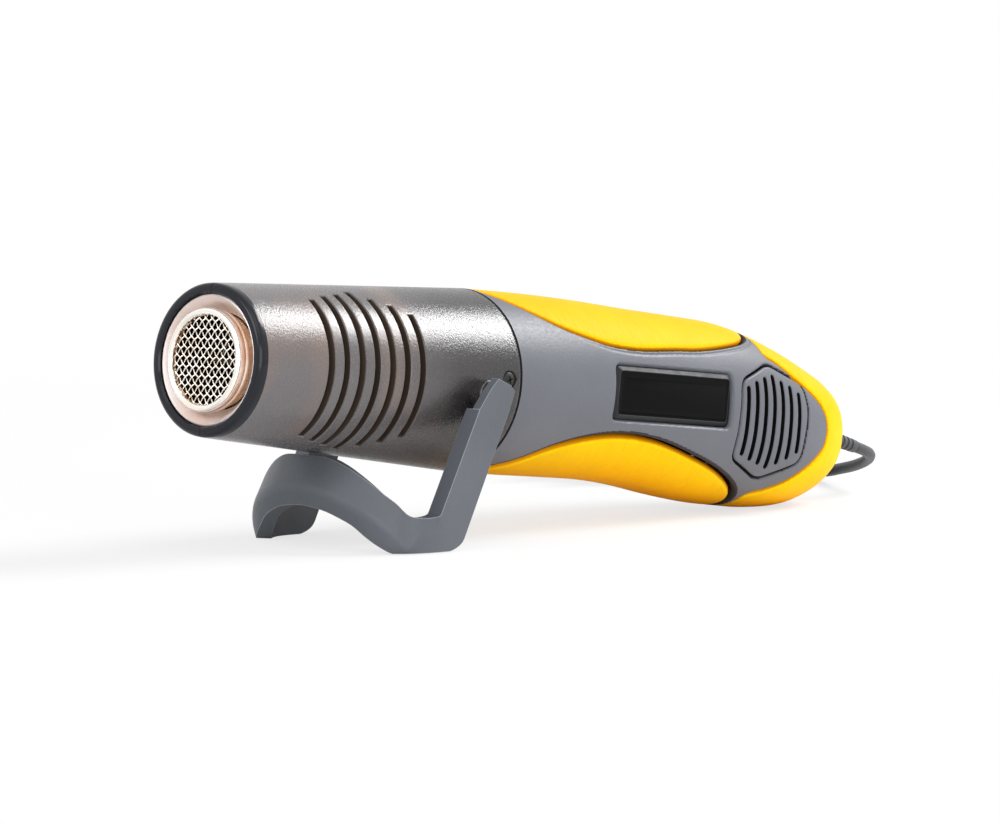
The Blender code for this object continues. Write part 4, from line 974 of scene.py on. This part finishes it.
def make_nozzle():
    inner = TUBE_RADIUS - TUBE_WALL
    tube = [(TUBE_END, TUBE_RADIUS), (TUBE_START, TUBE_RADIUS), (TUBE_START, inner), (TUBE_END, inner)]
    form = paint(turned([*tube, tube[0]]), lambda back, radius: radius < inner + 0.0002)
    finish_piece("hot_air_tube", form, ["heated_steel", "scorched"], "tool", ["nozzle_tube"])
    end = COLLAR_FRONT + COLLAR_DEPTH
    lip = TUBE_START - 0.001
    collar = [(end, COLLAR_RADIUS - 0.0006), (end - 0.0002, COLLAR_RADIUS - 0.0002), (end - 0.0006, COLLAR_RADIUS)]
    collar += [(0.0018, COLLAR_RADIUS), (0.0015, COLLAR_RADIUS - 0.00012), (0.0012, COLLAR_RADIUS)]
    roll = (COLLAR_RADIUS - MESH_OPENING) / 2
    collar += [(COLLAR_FRONT + 0.0010 - 0.0010 * s, COLLAR_RADIUS - roll + roll * c) for s, c in arc(15, 180)]
    collar += [(lip, MESH_OPENING), (lip + 0.0001, TUBE_RADIUS + CLEAR), (end, TUBE_RADIUS + CLEAR), collar[0]]
    form = paint(turned(collar, 120), lambda back, radius: back > COLLAR_FRONT + 0.0009 and radius > TUBE_RADIUS)
    finish_piece("rolled_collar", form, ["nozzle_steel", "warm_collar"], "tool", ["nozzle_collar"])


def make_woven_mesh(back):
    """Crossed wires, each passing over and under the others, cut to the collar's opening."""
    reach = MESH_OPENING + 0.0004
    turn = Matrix.Rotation(math.radians(44), 3, "X")
    count = int(reach / WIRE_PITCH)
    swing = WIRE_RADIUS * 0.95
    wires = []
    for direction in (0, 1):
        for i in range(-count, count + 1):
            offset = i * WIRE_PITCH
            half = math.sqrt(max(reach**2 - offset**2, 0.0))
            if half < 0.001:
                continue
            samples = max(8, int(2 * half / (WIRE_PITCH / 8)))
            rows = []
            for k in range(samples + 1):
                run = -half + 2 * half * k / samples
                phase = math.pi * run / WIRE_PITCH + math.pi * (i + direction)
                slope = -swing * math.pi / WIRE_PITCH * math.sin(phase)
                tangent = Vector((slope, 1.0, 0.0)).normalized()
                normal = Vector((tangent.y, -tangent.x, 0.0))
                centre = Vector((back + swing * math.cos(phase), run, 0.0))
                row = []
                for m in range(8):
                    a, b = ring_point(WIRE_RADIUS, m / 8)
                    point = centre + normal * a + Vector((0, 0, b + offset))
                    row.append(turn @ (Vector((point.x, -point.z, point.y)) if direction else point))
                rows.append(row)
            wires.append(rows)
    finish_piece("woven_mesh", skin(*wires), "wire_steel", "tool", ["nozzle_mesh"], smooth=60)


def make_heater():
    outer = NOSE_LIP_INNER - CLEAR
    inner = TUBE_RADIUS + CLEAR
    cone = [
        (0.0026, outer), (0.0010, outer), (0.0008, outer - 0.0003), (0.0056, inner + 0.0007), (0.0062, inner),
        (0.0070, inner), (0.0068, inner + 0.0004), (0.0026, outer),
    ]
    finish_piece("cone_reflector", turned(cone, 120), "reflector", "tool", ["reflector_cone"])
    back = SHIELD_FLANGE_X + 0.001
    flange = (back, NECK_RADIUS - 0.0050)
    shield = [
        flange, (SHIELD_FLANGE_X, flange[1]), (SHIELD_FLANGE_X, SHIELD_RADIUS), (SHIELD_START, SHIELD_RADIUS),
        (SHIELD_START, SHIELD_RADIUS - SHIELD_WALL), (back, SHIELD_RADIUS - SHIELD_WALL), flange,
    ]
    finish_piece("copper_heat_shield", turned(shield), "copper_shield", "tool", ["heat_shield"])
    outer = guard_radius(SPIGOT_START) - GUARD_WALL - CLEAR
    inner = outer - SPIGOT_WALL
    spigot = [
        (SPIGOT_END, outer), (SPIGOT_START + 0.0002, outer), (SPIGOT_START, outer - 0.0002), (SPIGOT_START, inner),
        (SPIGOT_END, inner),
    ]
    finish_piece("neck_spigot", turned(spigot), "deep_black", "tool")


def make_screw(label, side):
    """A cross-recessed pan head in the guard's recess; its cross is drawn as flat near-black faces on the head: painted
    shade of the recess.
    """
    screw_x, screw_z = GUARD_SCREW
    seat = guard_radius(screw_x) - 0.0009
    profile = (
        (seat - 0.0002, GUARD_SCREW_HEAD), (seat + 0.0004, GUARD_SCREW_HEAD), (seat + 0.0008, 0.0015),
        (seat + 0.0009, 0.0),
    )
    bm = turned(profile, 32, lambda y, a, b: (screw_x + a, side * y, screw_z + b))
    # the cross is flat near-black faces on the head, not cut in: painted shade of the recess
    for angle in (20, 110):
        turn = Matrix.Rotation(math.radians(angle), 2)
        for reach in (-0.0011, 0.0011):
            corners = []
            for corner in ((0.0, -0.0002), (reach, -0.00016), (reach, 0.00016), (0.0, 0.0002)):
                x, z = turn @ Vector(corner)
                corners.append(bm.verts.new((screw_x + x, side * (seat + 0.00094), screw_z + z)))
            bm.faces.new(corners).material_index = 1
    finishes = ["black_plastic", "gloss_black"]
    finish_piece("guard_screw_head_" + label, bm, finishes, "tool", ["guard_screw_" + label])


# The stand


def band_point(angle, depth):
    def outer(degrees):
        turn = math.radians(degrees)
        across, along = math.cos(turn) ** (2 / BAND_POWER), math.sin(turn) ** (2 / BAND_POWER)
        return Vector((BAND_CENTRE - BAND_REACH * along, STAND_OUTER * across))

    if angle <= 0:
        inward = Vector((0, -1))
    elif angle >= 90:
        inward = Vector((1, 0))
    else:
        run = (outer(min(angle + 1, 89.9)) - outer(angle - 1 if angle > 1 else 0)).normalized()
        inward = Vector((-run.y, run.x))
    return outer(angle) + inward * depth


def stand_half():
    rings = []
    for front, rear, ear in ARM:
        rear_z = floor_height(rear[0]) if rear[1] == "floor" else rear[1]
        near = STAND_OUTER - STAND_THICK if ear is None else ear
        middle = ((front[0] + rear[0]) / 2, (front[1] + rear_z) / 2)
        spots = (
            (*front, STAND_OUTER), (*middle, STAND_OUTER), (rear[0], rear_z, STAND_OUTER), (rear[0], rear_z, near),
            (*front, near),
        )
        rings.append([(x, -y, z) for x, z, y in spots])
    for angle, top, crease, low in BAND:
        share = min(1, angle / 50)
        thick = STAND_THICK + 0.0014 * share
        top_set, low_set = 0.0002 + 0.0028 * share, 0.0002 + 0.0022 * share
        ring = []
        for depth, height in ((top_set, top), (0.0, crease), (low_set, low), (thick, low), (thick, top)):
            x, y = band_point(angle, depth)
            ring.append((x, -y, floor_height(x) if height is None else height))
        rings.append(ring)
    return rings


def finer_rings(rings, steps=5):
    """Adds rings between the given ones on smooth curves through their corners, from the foot onwards."""
    rings = [list(map(Vector, ring)) for ring in rings]
    made = rings[:FIRST_RINGS]
    for k in range(FIRST_RINGS, len(rings) - LAST_RINGS):
        for step in range(steps):
            ring = [curve_point(corners, step / steps) for corners in zip(*rings[k - 1 : k + 3])]
            for point in ring:
                point.z = max(point.z, floor_height(point.x))
            made.append(ring)
    return made + rings[-LAST_RINGS:]


def soft_crease(ring):
    """The ring with its second corner, the crease along the outer face, turned into a short curve."""
    before, corner, after = ring[:3]
    start, end = [corner.lerp(side, min(0.4, CREASE_ROUND / (side - corner).length)) for side in (before, after)]
    return [before, *corner_curve(start, corner, end, 5), *ring[2:]]


def make_stand():
    half = stand_half()
    rings = finer_rings(half + [[(x, -y, z) for x, y, z in ring] for ring in reversed(half[:-1])])
    form = skin([soft_crease(ring) for ring in rings], ends=(0, -1))
    stand = finish_piece("bail_stand", form, ["stand_grey", "stand_edge"], "stand", ["stand"], smooth=0)
    # the bevel faces take the light grey: painted highlight along the edges
    soften(stand, 0.0006, 3, 28, material=1)


# Plate and switch


def make_plate():
    """A bare glossy plate: a sloped border round a slightly raised field."""
    rows = []
    for inset, height in PLATE_STEPS:
        corners = box_corners(PLATE_LENGTH / 2 - inset, PLATE_HEIGHT / 2 - inset)
        outline = rounded(corners, max(PLATE_CORNER - 0.3 * inset, 0.0006), 6)
        rows.append([(x, -PLATE_THICK - height + 0.0006, z) for x, z in outline])
    form = skin(rows, ends=(-1,))
    for number, face in enumerate(form.faces):
        face.material_index = int(number >= 4 * len(rows[0]))
    turn = Matrix.Translation((PLATE_X, -(PLATE_FACE - PLATE_THICK), PLATE_Z)) @ Matrix.Rotation(PLATE_TURN, 4, "Z")
    finish_piece("bare_plate", form, ["plate_border", "gloss_black"], "tool", ["name_plate"], TOOL @ turn, smooth=25)


def make_switch():
    half_length, half_height = SWITCH_LENGTH / 2, SWITCH_HEIGHT / 2
    turns = [-15 + 47 * i / 24 for i in range(12)] + [148 + 47 * i / 12 for i in range(13)]
    outline = [ring_point(ROCKER_RADIUS, degrees / 360) for degrees in turns]
    outline.insert(12, (0.0, 0.0034))
    half = half_height - 0.0006
    key = skin([[(x, y, z) for x, y in outline] for z in (-half, half)], ends=(0, -1))
    place = Matrix.Translation((SWITCH_X, ROCKER_PIVOT_Y, 0)) @ Matrix.Rotation(-ROCKER_TILT, 4, "Z")
    piece = finish_piece("rocker_key", key, "rocker_black", "rocker", ["rocker_switch"], TOOL @ place, smooth=0)
    soften(piece, 0.0003, 2, 40)
    outer_x, outer_z = half_length + SWITCH_FLANGE, half_height + SWITCH_FLANGE
    rows = []
    for x, z, y, radius in (
        (outer_x, outer_z, SWITCH_FACE - SWITCH_FLANGE_THICK, 0.0012), (outer_x, outer_z, SWITCH_FACE - 0.0003, 0.0012),
        (outer_x - 0.0003, outer_z - 0.0003, SWITCH_FACE, 0.0012),
        (half_length + 0.0003, half_height + 0.0003, SWITCH_FACE, 0.0003),
        (half_length, half_height, SWITCH_FACE - 0.0003, 0.0003),
        (half_length, half_height, SWITCH_FACE - 0.009, 0.0003),
    ):
        rows.append([(SWITCH_X + a, y, b) for a, b in rounded(box_corners(x, z), radius, 4)])
    finish_piece("switch_frame", skin(rows, ends=(-1,)), "black_plastic", "tool", ["switch_bezel"], smooth=30)


# Cord and plug


def relief_axis():
    start = Vector((RELIEF_START[0], 0, RELIEF_START[1]))
    return start, Vector((math.cos(RELIEF_SLOPE), 0, -math.sin(RELIEF_SLOPE)))


def make_relief():
    start, heading = relief_axis()
    profile = [(0.0, 0.0), (0.0, 0.0036), (0.0015, 0.0036), (0.0015, RELIEF_ROOT), (0.0090, RELIEF_ROOT)]
    for i in range(5):
        back = 0.0100 + i * 0.0022
        wide = RELIEF_ROOT + (RELIEF_TIP - RELIEF_ROOT) * i / 5
        deep = wide - 0.00035
        profile += [(back, wide), (back + 0.0001, deep), (back + 0.0008, deep), (back + 0.0009, wide)]
    profile += [(RELIEF_LENGTH - 0.0003, RELIEF_TIP), (RELIEF_LENGTH, RELIEF_TIP - 0.0002), (RELIEF_LENGTH, 0.0)]
    turn = Vector((1, 0, 0)).rotation_difference(heading).to_matrix().to_4x4()
    turn.translation = start
    finish_piece("ribbed_sleeve", turned(profile, 40), "cord_grey", "tool", ["strain_relief"], TOOL @ turn)


def coil_points():
    turns = 2 * COIL_TURNS_A_LAYER + 0.5
    count = round(turns * 32)
    points = []
    for i in range(count + 1):
        turn = i * turns / count
        radius = COIL_INNER - COIL_PITCH / 4 + COIL_PITCH * abs(turn - (COIL_TURNS_A_LAYER + 0.25))
        climb = min(1.0, max(0.0, (turn - COIL_TURNS_A_LAYER) / 0.5))
        x, y = ring_point(radius, turn)
        points.append(Vector((COIL_CENTRE[0] + x, COIL_CENTRE[1] + y, CORD_RADIUS + 0.0002 + COIL_PITCH * climb)))
    return points


def make_cord():
    start, heading = relief_axis()
    tip = on_table(start + heading * (RELIEF_LENGTH + CLEAR))
    straight = on_table(start + heading * (RELIEF_LENGTH + CLEAR + 2 * CORD_RADIUS))
    coil = coil_points()
    width = Vector((0, 2 * CORD_RADIUS, 0))
    entry = coil[0] - width
    lead = smooth_curve([tip, straight, *CORD_POINTS, entry - width, entry], spacing=0.003)
    end = coil[-1] + width
    leave = end + Vector((0, CLEAR, 0))
    centre = Vector((*COIL_CENTRE, coil[-1].z + CORD_RADIUS + CLEAR + PLUG_THICK / 2)) + Vector((0, PLUG_SHIFT, 0))
    neck = centre + Vector((PLUG_BACK + CLEAR, 0, 0))
    bend = [leave - width + Vector(p) for p in TAIL_POINTS]
    tail = smooth_curve([end, leave + Vector((0, 0.002, 0)), *bend, neck + Vector((0.003, 0, 0)), neck], spacing=0.002)
    route = [*map(Vector, lead), *coil, *map(Vector, tail)]
    data = bpy.data.curves.new("power_cord", "CURVE")
    data.dimensions = "3D"
    data.bevel_depth = CORD_RADIUS
    data.bevel_resolution = 4
    data.use_fill_caps = True
    spline = data.splines.new("POLY")
    spline.points.add(len(route) - 1)
    for slot, point in zip(spline.points, route):
        slot.co = (*(TABLE @ point), 1)
    spline.use_smooth = True
    data.materials.append(FINISH["cord_grey"])
    cord = add_object("power_cord", data)
    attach(cord, "tool")
    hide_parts("cord", "cord_coil", "cord_tail")
    make_plug(centre)


def make_plug(centre):
    half, neck, front = PLUG_WIDTH / 2, 0.0045, PLUG_BACK - PLUG_LENGTH
    outline = [
        (PLUG_BACK, -neck), (PLUG_BACK, neck), (PLUG_BACK - 0.008, neck + 0.001), (PLUG_BACK - 0.013, 0.011),
        (PLUG_BACK - 0.022, half - 0.0015), (PLUG_BACK - 0.030, half), (front, half),
    ]
    outline += [(x, -y) for x, y in reversed(outline[2:])]
    outline = rounded(outline, 0.0018, 4)
    middle = PLUG_BACK - PLUG_LENGTH / 2
    rows = []
    for side, steps in ((-1, PLUG_STEPS), (1, PLUG_STEPS[::-1])):
        for inset, drop in steps:
            narrow, short = 1 - inset / half, 1 - inset / (PLUG_LENGTH / 2)
            height = side * (PLUG_THICK / 2 - drop)
            rows.append([(middle + (x - middle) * short, y * narrow, height) for x, y in outline])
    place = TABLE @ Matrix.Translation(centre)
    made = [finish_piece("plug_shell", skin(rows, ends=(0, -1)), "black_plastic", "tool", ["plug_body"], place)]
    profile = [
        (0.0, 0.0), (0.0, PLUG_PIN_RADIUS), (PLUG_PIN_LENGTH - 0.0012, PLUG_PIN_RADIUS),
        (PLUG_PIN_LENGTH - 0.0003, 0.0013), (PLUG_PIN_LENGTH, 0.0),
    ]
    for label, side in SIDES:
        pin = Matrix.Translation((front, side * PLUG_PIN_SPACING / 2, 0)) @ Matrix.Rotation(math.pi, 4, "Z")
        contact = finish_piece(
            "plug_contact_" + label, turned(profile, 32), "steel", "tool", ["plug_pin_" + label], place @ pin,
        )
        made.append(contact)
    return made


make_camera()
make_cord()
make_stage()
for side_label, side_sign in SIDES:
    make_handle(side_label, side_sign)
    make_vent_panel(side_label, side_sign)
    make_guard(side_label, side_sign)
    make_screw(side_label, side_sign)
make_skin("top_grip", TOP_REGION, (110, 90), (0.0, 0.66), (-0.22, 0.22))
make_skin("bottom_grip", BOTTOM_REGION, (110, 90), (0.0, 0.66), (0.28, 0.72))
make_skin("rear_bumper", REAR_REGION, (70, 130), (0.5, 0.9995), (0.0, 1.0), list(map(np.array, relief_axis())))
make_nozzle()
make_woven_mesh(TUBE_START - 0.0002)
make_heater()
make_stand()
make_plate()
make_switch()
make_relief()

bpy.context.scene.view_settings.view_transform = "Standard"
